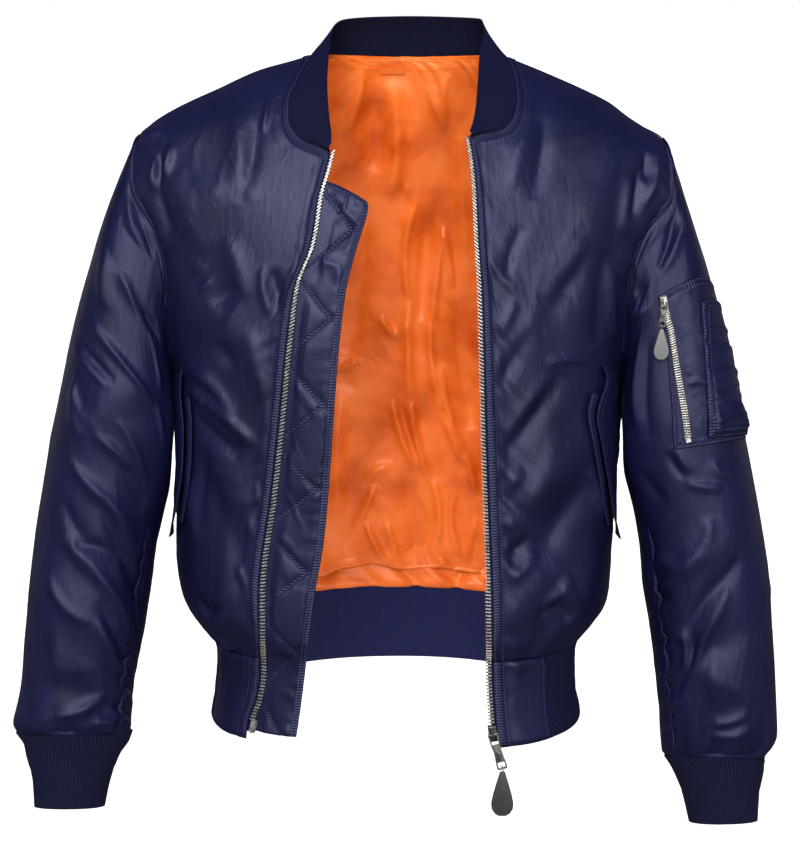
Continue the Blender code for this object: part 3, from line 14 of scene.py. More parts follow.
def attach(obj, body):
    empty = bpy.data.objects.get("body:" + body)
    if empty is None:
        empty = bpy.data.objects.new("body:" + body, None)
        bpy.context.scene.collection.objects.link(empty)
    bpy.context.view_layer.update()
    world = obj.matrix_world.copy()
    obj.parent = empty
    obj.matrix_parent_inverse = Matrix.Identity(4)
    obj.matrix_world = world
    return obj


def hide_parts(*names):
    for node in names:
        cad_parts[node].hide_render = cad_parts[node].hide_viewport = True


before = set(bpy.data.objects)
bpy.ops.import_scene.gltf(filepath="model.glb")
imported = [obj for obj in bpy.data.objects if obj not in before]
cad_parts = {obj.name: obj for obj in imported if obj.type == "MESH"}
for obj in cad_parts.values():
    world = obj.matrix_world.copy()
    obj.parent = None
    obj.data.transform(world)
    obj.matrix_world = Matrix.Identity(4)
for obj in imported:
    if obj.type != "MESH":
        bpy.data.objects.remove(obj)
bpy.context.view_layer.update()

MM = 0.001

# ---- driving sizes, millimetres -------------------------------------------------------------------
SHELL = 2.0            # satin, wadding and lining of the shell
RIB_CLOTH = 1.1        # wall of the rib knit between its ribs
LINING_CLOTH = 1.0
RIB_RELIEF = 0.6       # height of a knit rib over its groove
FRONT, BACK = -1, 1
RIGHT, LEFT = -1, 1    # the wearer's right is -X

HEM_SEAM = -560.0      # height of the seam between shell and hem
HEM_END = -641.0
ARMPIT = -300.0
SHOULDER_TIP = {RIGHT: -50.0, LEFT: -53.5}
ARMHOLE_DEPTH = {FRONT: 60.0, BACK: 56.0}
NECK_POINT = {RIGHT: 88.0, LEFT: 106.0}
ZIP_TOP = {RIGHT: -60.0, LEFT: -45.0}
CLOTH_TO_TEETH = 5.0   # from a front's edge to the line of the teeth
BODY_CLEARANCE = 2.6   # between a sleeve and the side that it hangs against
POCKET_CLEARANCE = 2.6 # the same again where the pocket flaps lie between them

SIDE_ROWS = 80         # rows from hem seam to armpit
ARMHOLE_ROWS = 96      # rows from armpit to shoulder tip, and sleeve columns per half
NECK_ROWS = 56          # the topmost rows end on the neckline
FRONT_COLUMNS = 88
SHOULDER_COLUMNS = 54
NECK_COLUMNS = 72
TAB_SHARE = {RIGHT: 6 / 11, LEFT: 4 / 11}

# Torso: pattern height, half width on the wearer's right and left, depth in front and behind, squareness
TORSO = (
    (-660, 199, 187, 147, 125, 2.8),
    (-641, 196, 187, 146, 124, 2.8),
    (-616, 192, 182, 143, 122, 2.8),
    (-574, 189, 181, 141, 120, 2.8),
    (-560, 192, 184, 142, 121, 2.8),
    (-549, 205, 199, 149, 127, 2.7),
    (-536, 217.5, 210, 153, 130, 2.7),
    (-510, 228.5, 217, 154, 131, 2.6),
    (-470, 232, 219, 152, 129, 2.5),
    (-400, 230, 223, 150, 128, 2.45),
    (-300, 230, 228, 148, 128, 2.4),
    (-150, 230, 228, 144, 127, 2.4),
    (-50, 230, 228, 141, 122, 2.4),
    (60, 230, 228, 139, 118, 2.4),
)

# Sway of the hem: pattern height, how much higher the middle of the front and of the back hang than the sides
HEM_SWAY = (
    (-641, -5, 16),
    (-560, 3, 15),
    (-470, 3, 8),
    (-300, 0, 0),
)

# Shoulder line: distance from the middle, height on the wearer's right and left
SHOULDER = (
    (0, 60, 66),
    (88, 31, 36),
    (106, 25.5, 29),
    (140, 16, 15.5),
    (185, -4, -4),
    (209, -14.5, -16),
    (228, -24, -30),
    (245, -34, -41),
    (264, -50, -51.6),
    (266, -51.8, -53.5),
    (275, -60, -64),
)

# Armhole: angle from the shoulder tip to under the arm, distance from the middle for the right front,
# right back, left front and left back
ARMHOLE = (
    (0, 264, 264, 266, 266),
    (40, 268, 262, 271, 264),
    (55, 264, 258, 270, 260),
    (65, 254, 254, 257, 257),
    (75, 242, 250, 242, 252),
    (90, 234, 246, 231, 247),
    (110, 231, 241, 226, 241),
    (135, 230, 236, 225, 235),
    (160, 230, 232, 226, 230),
    (180, 230, 230, 228, 228),
)

# Opening edge: pattern height, distance of the teeth from the middle, right and left
ZIP_LINE = (
    (-641, 150, 94),
    (-625, 148, 91),
    (-600, 139, 88.5),
    (-575, 135, 87),
    (-490, 134, 85),
    (-391, 121, 81),
    (-313, 112, 78),
    (-246, 105, 76),
    (-189, 97, 74),
    (-147, 81, 71),
    (-104, 74, 69),
    (-60, 67, 66),
    (-45, 66, 65),
)

# Front neckline: way from the zip's top to the shoulder, then x and height, right and left
FRONT_NECK = (
    (0.0, 67, -60, 67, -45),
    (0.22, 97, -46, 97, -39),
    (0.40, 107, -28, 110, -24),
    (0.56, 107, -12, 113, -8),
    (0.77, 99, 8, 111, 12),
    (1.0, 88, 31, 106, 29),
)

# Back neckline: distance along x, height
BACK_NECK = ((-88, 31), (-60, 29), (9, 27), (75, 28.5), (106, 29))

# Sleeves: way down from the armhole; outer x and height; inner x and height; middle y; half depth; how much
# higher the front of the section is than its middle
SLEEVE = {
    RIGHT: (
        (0, 264, -50, 230, -300, -2, 58, 0),
        (45, 283, -92, 226, -304, -5, 64, 0),
        (95, 301, -138, 221, -310, -8, 69, 0),
        (148, 316, -188, 218, -318, -11, 72, 0),
        (200, 331, -238, 216, -330, -15, 73, 0),
        (256, 343, -292, 218, -348, -19, 73, 1),
        (310, 354, -345, 225, -374, -23, 72, 3),
        (362, 363, -395, 234, -404, -27, 71, 5),
        (418, 373, -450, 246, -452, -31, 70, 7),
        (468, 379, -500, 253, -502, -35, 69, 9),
        (518, 384, -550, 261, -551, -39, 68, 11),
        (568, 388, -600, 271, -600, -43, 66, 12),
        (598, 394, -630, 274, -630, -46, 64, 13),
        (615, 398, -645, 275, -645, -48, 61, 13),
        (627, 394, -656, 276, -655, -49, 56, 13),
        (638, 386, -668, 280, -666, -50, 50, 12),
        (650, 384, -680, 289, -679, -50, 46, 11),
        (678, 378, -708, 300, -708, -51, 40, 10),
        (705, 377, -735, 306, -735, -52, 36, 9),
    ),
    LEFT: (
        (0, 266, -53.5, 228, -300, -2, 58, 0),
        (45, 281, -93, 224, -304, -5, 64, 0),
        (95, 297, -139, 219, -310, -8, 69, 0),
        (148, 313, -188, 215, -318, -11, 72, 0),
        (200, 327, -238, 213, -330, -15, 73, 0),
        (256, 341, -292, 215, -348, -19, 73, 1),
        (310, 351, -345, 221, -374, -23, 72, 3),
        (362, 361, -395, 231, -400, -27, 71, 5),
        (418, 371, -450, 243, -452, -31, 70, 7),
        (468, 378, -500, 247, -502, -35, 69, 10),
        (518, 382, -550, 256, -552, -39, 68, 12),
        (568, 386, -600, 262, -602, -43, 66, 14),
        (600, 388, -632, 266, -632, -46, 64, 16),
        (633, 390, -664, 269, -664, -48, 61, 17),
        (647, 382, -677, 272, -675, -49, 56, 17),
        (655, 375, -686, 273, -681, -50, 52, 16),
        (667, 374, -698, 280, -692, -50, 47, 14),
        (691, 370, -723, 292, -720, -51, 41, 11),
        (720, 369, -750, 300, -752, -52, 36, 9),
    ),
}
CUFF_SEAM = {RIGHT: 627.0, LEFT: 655.0}
CUFF_END = {RIGHT: 705.0, LEFT: 720.0}
SLEEVE_EASE = ((0, 1.0), (50, 0.7), (110, 0.38), (180, 0.14), (250, 0.03), (300, 0.0))
SLEEVE_ROUND = 2.2

# Collar's free edge: way round from the right zip end to the left one, then x, y, z
COLLAR_EDGE = (
    (0.0, -66, -101, -52),
    (0.06, -66, -93, -44),
    (0.13, -69, -76, -22),
    (0.20, -71, -52, 8),
    (0.27, -70, -14, 36),
    (0.33, -68, 14, 55),
    (0.39, -59, 41, 65),
    (0.45, -32, 62, 68),
    (0.51, 12, 70, 69),
    (0.58, 56, 62, 68),
    (0.64, 82, 41, 66),
    (0.70, 84, 12, 54),
    (0.76, 79, -14, 34),
    (0.83, 76, -52, 6),
    (0.90, 73, -76, -20),
    (0.95, 69, -91, -36),
    (1.0, 67, -99, -39),
)

# Soft folds on a panel: x and height of each end, half width, height over the cloth (troughs negative)
FRONT_FOLDS = {
    RIGHT: (
        (-195, -330, -130, -440, 17, 5.0),
        (-200, -352, -150, -470, 14, -4.0),
        (-205, -120, -150, -80, 20, 4.0),
        (-215, -190, -130, -260, 22, 4.0),
        (-150, -470, -190, -540, 18, 4.0),
        (-160, -520, -140, -455, 14, -3.5),
    ),
    LEFT: (
        (100, -430, 200, -320, 18, 5.0),
        (105, -470, 190, -370, 16, -4.5),
        (100, -520, 150, -460, 16, 4.5),
        (225, -60, 205, -190, 14, -5.0),
        (190, -90, 170, -260, 20, 4.5),
        (110, -540, 190, -500, 16, -4.0),
        (200, -440, 170, -540, 18, 4.5),
    ),
}
BACK_FOLDS = (
    (-200, -120, -90, -240, 20, 4.5),
    (-190, -330, -60, -430, 22, -4.0),
    (-150, -520, -40, -470, 18, 4.0),
    (40, -470, 170, -520, 18, 4.5),
    (60, -400, 200, -330, 20, 4.0),
    (110, -220, 205, -130, 20, 4.0),
    (-60, -90, 70, -110, 22, -3.0),
)
# Soft folds on a sleeve: angle and way of each end, half width, height
SLEEVE_FOLDS = {
    RIGHT: (
        (120, 120, 60, 330, 17, 5.0),
        (95, 300, 150, 430, 16, -4.5),
        (40, 430, 130, 540, 17, 5.0),
        (60, 560, 150, 600, 14, -4.0),
        (250, 150, 310, 330, 18, 4.5),
        (230, 420, 320, 520, 18, 4.5),
    ),
    LEFT: (
        (110, 60, 130, 260, 14, 5.5),
        (75, 90, 95, 260, 13, -4.0),
        (60, 400, 140, 470, 17, 5.0),
        (50, 500, 140, 560, 17, -4.5),
        (60, 590, 130, 540, 14, 4.0),
        (250, 170, 300, 350, 18, 4.5),
        (240, 450, 320, 540, 18, 4.5),
    ),
}

# Pocket flaps: height, distance of the free edge from the middle, height of that edge over the front
POCKET_EDGE = {
    RIGHT: ((-449, 224, 8), (-426, 220, 6), (-401, 216, 4.5), (-379, 213, 3.5), (-333, 211, 3.5),
            (-300, 213, 4), (-275, 212, 2.5)),
    LEFT: ((-451, 214, 8), (-420, 207, 6), (-379, 201, 4.5), (-351, 196, 3.5), (-318, 190.5, 3),
           (-309, 192, 3), (-283, 199, 4), (-267, 196, 2.5)),
}
POCKET_FLAP_WIDTH = 30.0
POCKET_CLOTH = 1.6
WELT_CLOTH = 1.4
WELT_LIFT = {RIGHT: 0.6, LEFT: 1.6}   # the left one bridges small folds

# Patches on the wearer's left sleeve: top and foot as ways down the sleeve by angle, front edge as angles by way
SLEEVE_POCKET = (((20, 150), (83, 78)), ((20, 314), (101, 299)), ((78, 83), (299, 101)))
PEN_POCKET = (((22, 170), (54, 140)), ((22, 311), (75, 296)), ((140, 54), (296, 75)))
PATCH_LIFTS = (0.7, 2.8)
PATCH_CLOTH = 1.2
POCKET_CHAIN = ((104, 81.1), (118, 81.7), (160, 83.6), (204, 85.5), (250, 87.5), (292, 89.3))   # way, angle

# Zip: everything beside an opening edge, as distances towards the opening and heights over the cloth
ZIP_BOTTOM = -636.0
TAPE_ACROSS = (-11.0, 4.2)
TAPE_LIFT = (-3.5, -2.8)
CHAIN_ACROSS = (0.5, 7.4)
CHAIN_LIFT = (-4.1, -1.1)
SLIDER_Z = -630.0
PIN_LENGTH = 12.0

# Wind flap: pattern height, distance of its free edge from the middle
FLAP_EDGE = (
    (-632, 104), (-581, 96), (-490, 84), (-440, 75), (-391, 70), (-294, 63), (-246, 59), (-190, 52),
    (-150, 42), (-118, 32), (-100, 29),
)
FLAP_TOP = -85.0
FLAP_SLANT = 18.0      # how much lower its free corner is than its top at the zip
FLAP_DEPTH = 5.2       # its outer side below the surface of the front
FLAP_CLOTH = 3.0

LINING_GAP = 4.0       # between the back's inner side and the lining
# Folds of the back lining: x and height of each end, half width, height
LINING_FOLDS = (
    (-95, -560, -70, -90, 14, 5.0),
    (-45, -570, -35, -60, 13, 6.0),
    (5, -570, 12, -120, 15, 4.5),
    (52, -570, 45, -60, 13, 6.5),
    (88, -560, 82, -160, 12, 5.0),
    (-150, -520, -140, -200, 16, 4.0),
    (150, -520, 140, -200, 16, 4.0),
)


# ---- curves and surfaces --------------------------------------------------------------------------
def read(table, column, at):
    """A smooth value of one column of a table, which never overshoots its rows."""
    keys = np.array([row[0] for row in table], float)
    values = np.array([row[column] for row in table], float)
    steps = np.diff(values) / np.diff(keys)
    slopes = np.empty(len(keys))
    slopes[0] = steps[0]
    slopes[-1] = steps[-1]
    product = steps[:-1] * steps[1:]
    total = np.where(product > 0, steps[:-1] + steps[1:], 1.0)
    slopes[1:-1] = np.where(product > 0, 2 * product / total, 0.0)
    at = np.clip(np.asarray(at, float), keys[0], keys[-1])
    spot = np.clip(np.searchsorted(keys, at, side="right") - 1, 0, len(keys) - 2)
    width = keys[spot + 1] - keys[spot]
    part = (at - keys[spot]) / width
    start = values[spot] + (3 * part**2 - 2 * part**3) * (values[spot + 1] - values[spot])
    bend = slopes[spot] * (part - 2 * part**2 + part**3) + slopes[spot + 1] * (part**3 - part**2)
    return start + width * bend


def unit(vectors):
    """The same directions at length one."""
    return vectors / np.maximum(np.linalg.norm(vectors, axis=-1, keepdims=True), 1e-9)


def resample(points, fractions):
    """Points at the given fractions of a polyline's length."""
    steps = np.linalg.norm(np.diff(points, axis=0), axis=1)
    way = np.concatenate([[0], np.cumsum(steps)])
    at = np.asarray(fractions) * way[-1]
    return np.stack([np.interp(at, way, points[:, axis]) for axis in range(points.shape[1])], axis=1)


def shoulder_height(x, face):
    """Top of the cloth over a point: the shoulder line, and over the back neck a rise towards the nape."""
    x = np.asarray(x, float)
    height = np.where(x < 0, read(SHOULDER, 1, np.abs(x)), read(SHOULDER, 2, np.abs(x)))
    if face == BACK:
        middle = (NECK_POINT[LEFT] - NECK_POINT[RIGHT]) / 2
        reach = (NECK_POINT[LEFT] + NECK_POINT[RIGHT]) / 2
        height = height + 77 * np.clip(1 - ((x - middle) / reach) ** 2, 0, 1) ** 1.3
    return height


def armhole(side, face, angle):
    """Points of an armhole seam, from the shoulder tip (0) round one face to under the arm (180)."""
    column = 1 + (side == LEFT) * 2 + (face == BACK)
    turn = np.radians(angle)
    rise = (SHOULDER_TIP[side] - ARMPIT) / 2
    x = side * read(ARMHOLE, column, angle)
    y = face * ARMHOLE_DEPTH[face] * np.sin(turn)
    z = ARMPIT + rise * (1 + np.cos(turn))
    return np.stack([x, y, z], axis=-1)


def armhole_normal(side, face, angle):
    """Thickness direction along an armhole seam."""
    turn = np.radians(angle)
    rise = (SHOULDER_TIP[side] - ARMPIT) / 2
    y = face * np.sin(turn) / ARMHOLE_DEPTH[face]
    return unit(np.stack([np.zeros_like(turn), y, np.cos(turn) / rise], axis=-1))


def half_width(side, face, height):
    """Half width of the torso's section; above the armpit it carries the surface through the armhole."""
    height = np.asarray(height, float)
    below = read(TORSO, 1 if side == RIGHT else 2, height)
    rise = (SHOULDER_TIP[side] - ARMPIT) / 2
    turn = np.arccos(np.clip((height - ARMPIT) / rise - 1, -1, math.cos(math.radians(4))))
    ring = armhole(side, face, np.degrees(turn))
    square = read(TORSO, 5, height)
    reach = section_depth(face, ring[..., 0], ring[..., 2])
    share = np.clip(np.abs(ring[..., 1]) / np.maximum(reach, 1e-6), 0, 0.9)
    above = np.abs(ring[..., 0]) / (1 - share**square) ** (1 / square)
    return np.where(height < ARMPIT, below, above)


def section_depth(face, x, height):
    """Greatest depth of the section at a height, which closes to nothing on the shoulder line."""
    full = read(TORSO, 3 if face == FRONT else 4, height)
    lift = (height - ARMPIT) / (shoulder_height(x, face) - ARMPIT)
    return full * np.sqrt(1 - np.clip(lift, 0, 1) ** 2)


def hem_lift(face, x, height):
    """How much higher the middle of the front or back hangs than the sides."""
    half = np.where(x < 0, half_width(RIGHT, face, height), half_width(LEFT, face, height))
    share = np.clip(1 - (x / half) ** 2, 0, 1)
    return read(HEM_SWAY, 1 if face == FRONT else 2, height) * share


def body_point(face, x, height):
    """A point of the torso's outer surface over pattern position x, height."""
    x = np.asarray(x, float)
    height = np.asarray(height, float) + 0 * x
    half = np.where(x < 0, half_width(RIGHT, face, height), half_width(LEFT, face, height))
    square = read(TORSO, 5, height)
    share = (1 - np.clip(np.abs(x) / half, 0, 1) ** square) ** (1 / square)
    y = face * section_depth(face, x, height) * share
    return np.stack([x, y, height + hem_lift(face, x, height)], axis=-1)


def body_level(face, x, y, height):
    """Zero on the torso's surface and growing outwards, for its normals."""
    half = np.where(x < 0, half_width(RIGHT, face, height), half_width(LEFT, face, height))
    square = read(TORSO, 5, height)
    share = (1 - np.clip(np.abs(x) / half, 0, 1) ** square) ** (2 / square)
    full = read(TORSO, 3 if face == FRONT else 4, height)
    return (y / full) ** 2 - (section_depth(face, x, height) / full) ** 2 * share


def body_normal(face, points):
    """Outward direction of the torso's surface."""
    x, y = points[..., 0], points[..., 1]
    height = points[..., 2] - hem_lift(face, x, points[..., 2])
    step = 0.5
    along = [
        body_level(face, x + step, y, height) - body_level(face, x - step, y, height),
        body_level(face, x, y + step, height) - body_level(face, x, y - step, height),
        body_level(face, x, y, height + step) - body_level(face, x, y, height - step),
    ]
    return unit(np.stack(along, axis=-1))


def folds(table, across, along, stretch=1.0):
    """Height of the soft folds at positions on the cloth; stretch turns the first key into millimetres."""
    height = np.zeros_like(across)
    for start_a, start_b, end_a, end_b, width, top in table:
        run = np.array([(end_a - start_a) * stretch, end_b - start_b])
        length = np.linalg.norm(run)
        away_a = (across - start_a) * stretch
        away_b = along - start_b
        forward = (away_a * run[0] + away_b * run[1]) / length
        aside = (away_a * run[1] - away_b * run[0]) / length
        taper = np.clip(1 - np.abs(2 * forward / length - 1) ** 2, 0, 1)
        height = height + top * taper * np.exp(-((aside / width) ** 2))
    return height


def edge_fade(rows, columns, reach=2.0):
    """A weight of one inside a grid that falls to zero at its edges."""
    down = np.minimum(np.arange(rows), np.arange(rows)[::-1]) / reach
    across = np.minimum(np.arange(columns), np.arange(columns)[::-1]) / reach
    return np.clip(down, 0, 1)[:, None] * np.clip(across, 0, 1)[None, :]


# ---- torso panels ---------------------------------------------------------------------------------
def pattern_heights(side):
    """Heights of the panel rows at the side seam and armhole, and the angles on the armhole."""
    angles = np.linspace(180, 0, ARMHOLE_ROWS + 1)
    seam = np.linspace(HEM_SEAM, ARMPIT, SIDE_ROWS + 1)
    rise = (SHOULDER_TIP[side] - ARMPIT) / 2
    return np.concatenate([seam, ARMPIT + rise * (1 + np.cos(np.radians(angles[1:])))]), angles


def row_across(face, x, height, fractions):
    """Points across a panel at fractions of the cloth's length along one pattern line."""
    return resample(body_point(face, x, height), fractions)


# Shares of the way across a panel, closest together at its side
SWEEP = 1 - np.cos(np.linspace(0, math.pi / 2, 160))


def front_neck(side, count):
    """Pattern positions of the front neckline, from the zip's top to the shoulder, equal steps apart."""
    way = np.linspace(0, 1, 200)
    column = 1 if side == RIGHT else 3
    x = side * read(FRONT_NECK, column, way)
    height = read(FRONT_NECK, column + 1, way)
    line = body_point(FRONT, x, height)
    steps = np.concatenate([[0], np.cumsum(np.linalg.norm(np.diff(line, axis=0), axis=1))])
    at = np.linspace(0, steps[-1], count + 1)
    return np.interp(at, steps, x), np.interp(at, steps, height)


def front_edge(side):
    """Pattern positions of a front's opening edge, row by row: up the zip, then round the neckline."""
    zip_rows = SIDE_ROWS + ARMHOLE_ROWS - NECK_ROWS
    heights = np.linspace(HEM_SEAM, ZIP_TOP[side], zip_rows + 1)
    column = 1 if side == RIGHT else 2
    x = side * (read(ZIP_LINE, column, heights) + CLOTH_TO_TEETH)
    neck_x, neck_height = front_neck(side, NECK_ROWS)
    blend = np.clip((heights - ZIP_TOP[side] + 40) / 40, 0, 1)
    x = x * (1 - blend) + neck_x[0] * blend + side * CLOTH_TO_TEETH * blend * (1 - blend)
    return np.concatenate([x, neck_x[1:]]), np.concatenate([heights, neck_height[1:]])


def front_grid(side):
    """Outer points of a front, rows from hem to shoulder, columns from the side to the opening."""
    seam_heights, angles = pattern_heights(side)
    edge_x, edge_height = front_edge(side)
    tip = armhole(side, FRONT, 0.0)
    rows = []
    for row, height in enumerate(seam_heights):
        if row <= SIDE_ROWS:
            start_x = side * half_width(side, FRONT, np.array(height - 1e-6))
            rise = 0.0
        else:
            start_x = armhole(side, FRONT, angles[row - SIDE_ROWS])[0]
            rise = ((row - SIDE_ROWS) / ARMHOLE_ROWS) ** 2
        x = start_x + (edge_x[row] - start_x) * SWEEP
        line = height + (edge_height[row] - height) * SWEEP
        over = tip[0] + (side * NECK_POINT[side] - tip[0]) * SWEEP
        straight = tip[2] + (edge_height[-1] - tip[2]) * SWEEP
        line = line + rise * (shoulder_height(over, FRONT) - straight)
        rows.append(row_across(FRONT, x, line, np.linspace(0, 1, FRONT_COLUMNS + 1)))
    return np.array(rows)


def back_grid():
    """Outer points of the back, rows from hem to shoulder, columns from the wearer's right to left."""
    right_heights, angles = pattern_heights(RIGHT)
    left_heights, _ = pattern_heights(LEFT)
    tips = {side: abs(armhole(side, BACK, 0.0)[0]) for side in (RIGHT, LEFT)}
    neck_ends = [side * NECK_POINT[side] / tips[side] for side in (RIGHT, LEFT)]
    share = np.unique(np.concatenate([-np.cos(np.linspace(0, math.pi, 801)), neck_ends]))
    mix = (share + 1) / 2
    columns = 2 * SHOULDER_COLUMNS + NECK_COLUMNS
    rows = []
    for row, (right, left) in enumerate(zip(right_heights, left_heights)):
        if row <= SIDE_ROWS:
            ends = [half_width(side, BACK, np.array(right - 1e-6)) for side in (RIGHT, LEFT)]
            rise = 0.0
        else:
            ends = [abs(armhole(side, BACK, angles[row - SIDE_ROWS])[0]) for side in (RIGHT, LEFT)]
            rise = (row - SIDE_ROWS) / ARMHOLE_ROWS
        x = np.where(share < 0, ends[0], ends[1]) * share
        over = np.where(share < 0, tips[RIGHT], tips[LEFT]) * share
        neck = (over > -NECK_POINT[RIGHT]) & (over < NECK_POINT[LEFT])
        top = np.where(neck, read(BACK_NECK, 1, over), shoulder_height(over, FRONT))
        line = right + (left - right) * mix + rise * (top - top[0] - (top[-1] - top[0]) * mix)
        points = body_point(BACK, x, line)
        steps = np.concatenate([[0], np.cumsum(np.linalg.norm(np.diff(points, axis=0), axis=1))])
        steps = steps / steps[-1]
        first = np.interp(-NECK_POINT[RIGHT], over, steps)
        last = np.interp(NECK_POINT[LEFT], over, steps)
        even = SHOULDER_COLUMNS / columns
        stops = [0, even + (first - even) * rise, 1 - even + (last - 1 + even) * rise, 1]
        marks = [0, SHOULDER_COLUMNS, SHOULDER_COLUMNS + NECK_COLUMNS, columns]
        rows.append(resample(points, np.interp(np.arange(columns + 1), marks, stops)))
    return np.array(rows)


def side_normals(side, line):
    """Thickness direction along a side seam."""
    slope = np.gradient(np.abs(line[:, 0])) / np.gradient(line[:, 2])
    return unit(np.stack([side * np.ones(len(line)), np.zeros(len(line)), -slope], axis=-1))


def shoulder_normals(line):
    """Thickness direction along a shoulder seam."""
    along = unit(np.gradient(line, axis=0))
    turned = np.stack([-along[:, 2], np.zeros(len(line)), along[:, 0]], axis=-1)
    return turned * np.sign(turned[:, 2:3])


def neck_point_normal(side):
    """Thickness direction where shoulder seam and collar meet."""
    low, high = shoulder_height(side * (NECK_POINT[side] + np.array([12.0, 0.0])), FRONT)
    return unit(np.array([side * (high - low), 0.0, 12.0]))


def hem_normals(line):
    """Thickness direction along the hem: level, and square to the line."""
    along = unit(np.gradient(line, axis=0))
    turned = unit(np.stack([along[:, 1], -along[:, 0], np.zeros(len(line))], axis=-1))
    outward = np.sum(turned * (line - np.array([0, -10, 0])) * np.array([1, 1, 0]), axis=-1, keepdims=True)
    return turned * np.sign(outward)


def front_normals(side, grid):
    """Thickness directions of a front, shared with its neighbours along the seams."""
    normals = body_normal(FRONT, grid)
    _, angles = pattern_heights(side)
    normals[:SIDE_ROWS + 1, 0] = side_normals(side, grid[:SIDE_ROWS + 1, 0])
    normals[SIDE_ROWS:, 0] = armhole_normal(side, FRONT, angles)
    normals[-1, 1:-1] = shoulder_normals(grid[-1])[1:-1]
    normals[-1, -1] = neck_point_normal(side)
    normals[0] = hem_normals(grid[0])
    return normals


def back_normals(grid):
    """Thickness directions of the back, shared with its neighbours along the seams."""
    normals = body_normal(BACK, grid)
    _, angles = pattern_heights(RIGHT)
    for side, end in ((RIGHT, 0), (LEFT, -1)):
        normals[:SIDE_ROWS + 1, end] = side_normals(side, grid[:SIDE_ROWS + 1, end])
        normals[SIDE_ROWS:, end] = armhole_normal(side, BACK, angles)
    right = slice(1, SHOULDER_COLUMNS)
    left = slice(SHOULDER_COLUMNS + NECK_COLUMNS + 1, -1)
    normals[-1, right] = shoulder_normals(grid[-1, :SHOULDER_COLUMNS + 1])[1:-1]
    normals[-1, left] = shoulder_normals(grid[-1, SHOULDER_COLUMNS + NECK_COLUMNS:])[1:-1]
    normals[-1, SHOULDER_COLUMNS] = neck_point_normal(RIGHT)
    normals[-1, SHOULDER_COLUMNS + NECK_COLUMNS] = neck_point_normal(LEFT)
    normals[0] = hem_normals(grid[0])
    return normals


# ---- sleeves and cuffs ----------------------------------------------------------------------------
def sleeve_base(side, angle, way):
    """Sleeve section before it is eased onto the armhole: 0 outside, 90 in front, 180 inside."""
    turn = np.radians(angle)
    columns = (read(SLEEVE[side], column, way) for column in range(1, 8))
    outer_x, outer_z, inner_x, inner_z, middle, depth, lift = columns
    power = 2 / SLEEVE_ROUND
    over = np.sign(np.cos(turn)) * np.abs(np.cos(turn)) ** power
    ahead = np.sign(np.sin(turn)) * np.abs(np.sin(turn)) ** power
    x = (outer_x + inner_x) / 2 + (outer_x - inner_x) / 2 * over
    z = (outer_z + inner_z) / 2 + (outer_z - inner_z) / 2 * over + lift * ahead
    return np.stack([side * x, middle - depth * ahead, z], axis=-1)


def sleeve_point(side, angle, way):
    """A point of a sleeve's outer surface."""
    angle, way = np.broadcast_arrays(np.asarray(angle, float), np.asarray(way, float))
    front = armhole(side, FRONT, np.minimum(angle, 360 - angle))
    back = armhole(side, BACK, np.minimum(angle, 360 - angle))
    ring = np.where((angle <= 180)[..., None], front, back)
    ease = read(SLEEVE_EASE, 1, way)[..., None]
    point = sleeve_base(side, angle, way) + ease * (ring - sleeve_base(side, angle, np.zeros_like(way)))
    face = np.where(point[..., 1] < 0, FRONT, BACK)
    depth = np.where(face == FRONT, read(TORSO, 3, point[..., 2]), read(TORSO, 4, point[..., 2]))
    square = read(TORSO, 5, point[..., 2])
    share = (1 - np.clip(np.abs(point[..., 1]) / depth, 0, 1) ** square) ** (1 / square)
    limit = half_width(side, FRONT, np.minimum(point[..., 2], ARMPIT - 1e-6)) * share
    limit = limit + BODY_CLEARANCE * np.clip(way / 24, 0, 1)
    limit = limit + POCKET_CLEARANCE * np.clip((ARMPIT - 8 - point[..., 2]) / 50, 0, 1)
    below = point[..., 2] < ARMPIT - 1e-3
    x = np.where(below, np.maximum(np.abs(point[..., 0]), limit), np.abs(point[..., 0]))
    seam = np.abs(ring[..., 0]) + BODY_CLEARANCE * np.clip(way / 24, 0, 1) - 14 * np.clip((way - 30) / 100, 0, 1)
    under = np.abs(angle - 180) < 100
    x = np.where(under, np.maximum(x, seam), x)
    return np.stack([side * x, point[..., 1], point[..., 2]], axis=-1)


def sleeve_grid(side, ways):
    """Outer points of a sleeve or cuff, with the angle and the way of each."""
    angles = np.arange(2 * ARMHOLE_ROWS) * 180.0 / ARMHOLE_ROWS
    angle, way = np.meshgrid(angles, np.asarray(ways, float))
    return sleeve_point(side, angle, way), angle, way


# ---- collar and hem -------------------------------------------------------------------------------
def collar_base(fronts, back, back_way):
    """The neck seam from the right zip end round the nape to the left one, with its directions."""
    first = SHOULDER_COLUMNS
    last = SHOULDER_COLUMNS + NECK_COLUMNS
    pieces = [
        (fronts[RIGHT][0][-1 - NECK_ROWS:, -1], fronts[RIGHT][1][-1 - NECK_ROWS:, -1]),
        (back[-1, first + 1:last], back_way[-1, first + 1:last]),
        (fronts[LEFT][0][-1 - NECK_ROWS:, -1][::-1], fronts[LEFT][1][-1 - NECK_ROWS:, -1][::-1]),
    ]
    line = np.concatenate([piece[0] for piece in pieces])
    normals = np.concatenate([piece[1] for piece in pieces])
    return line, normals


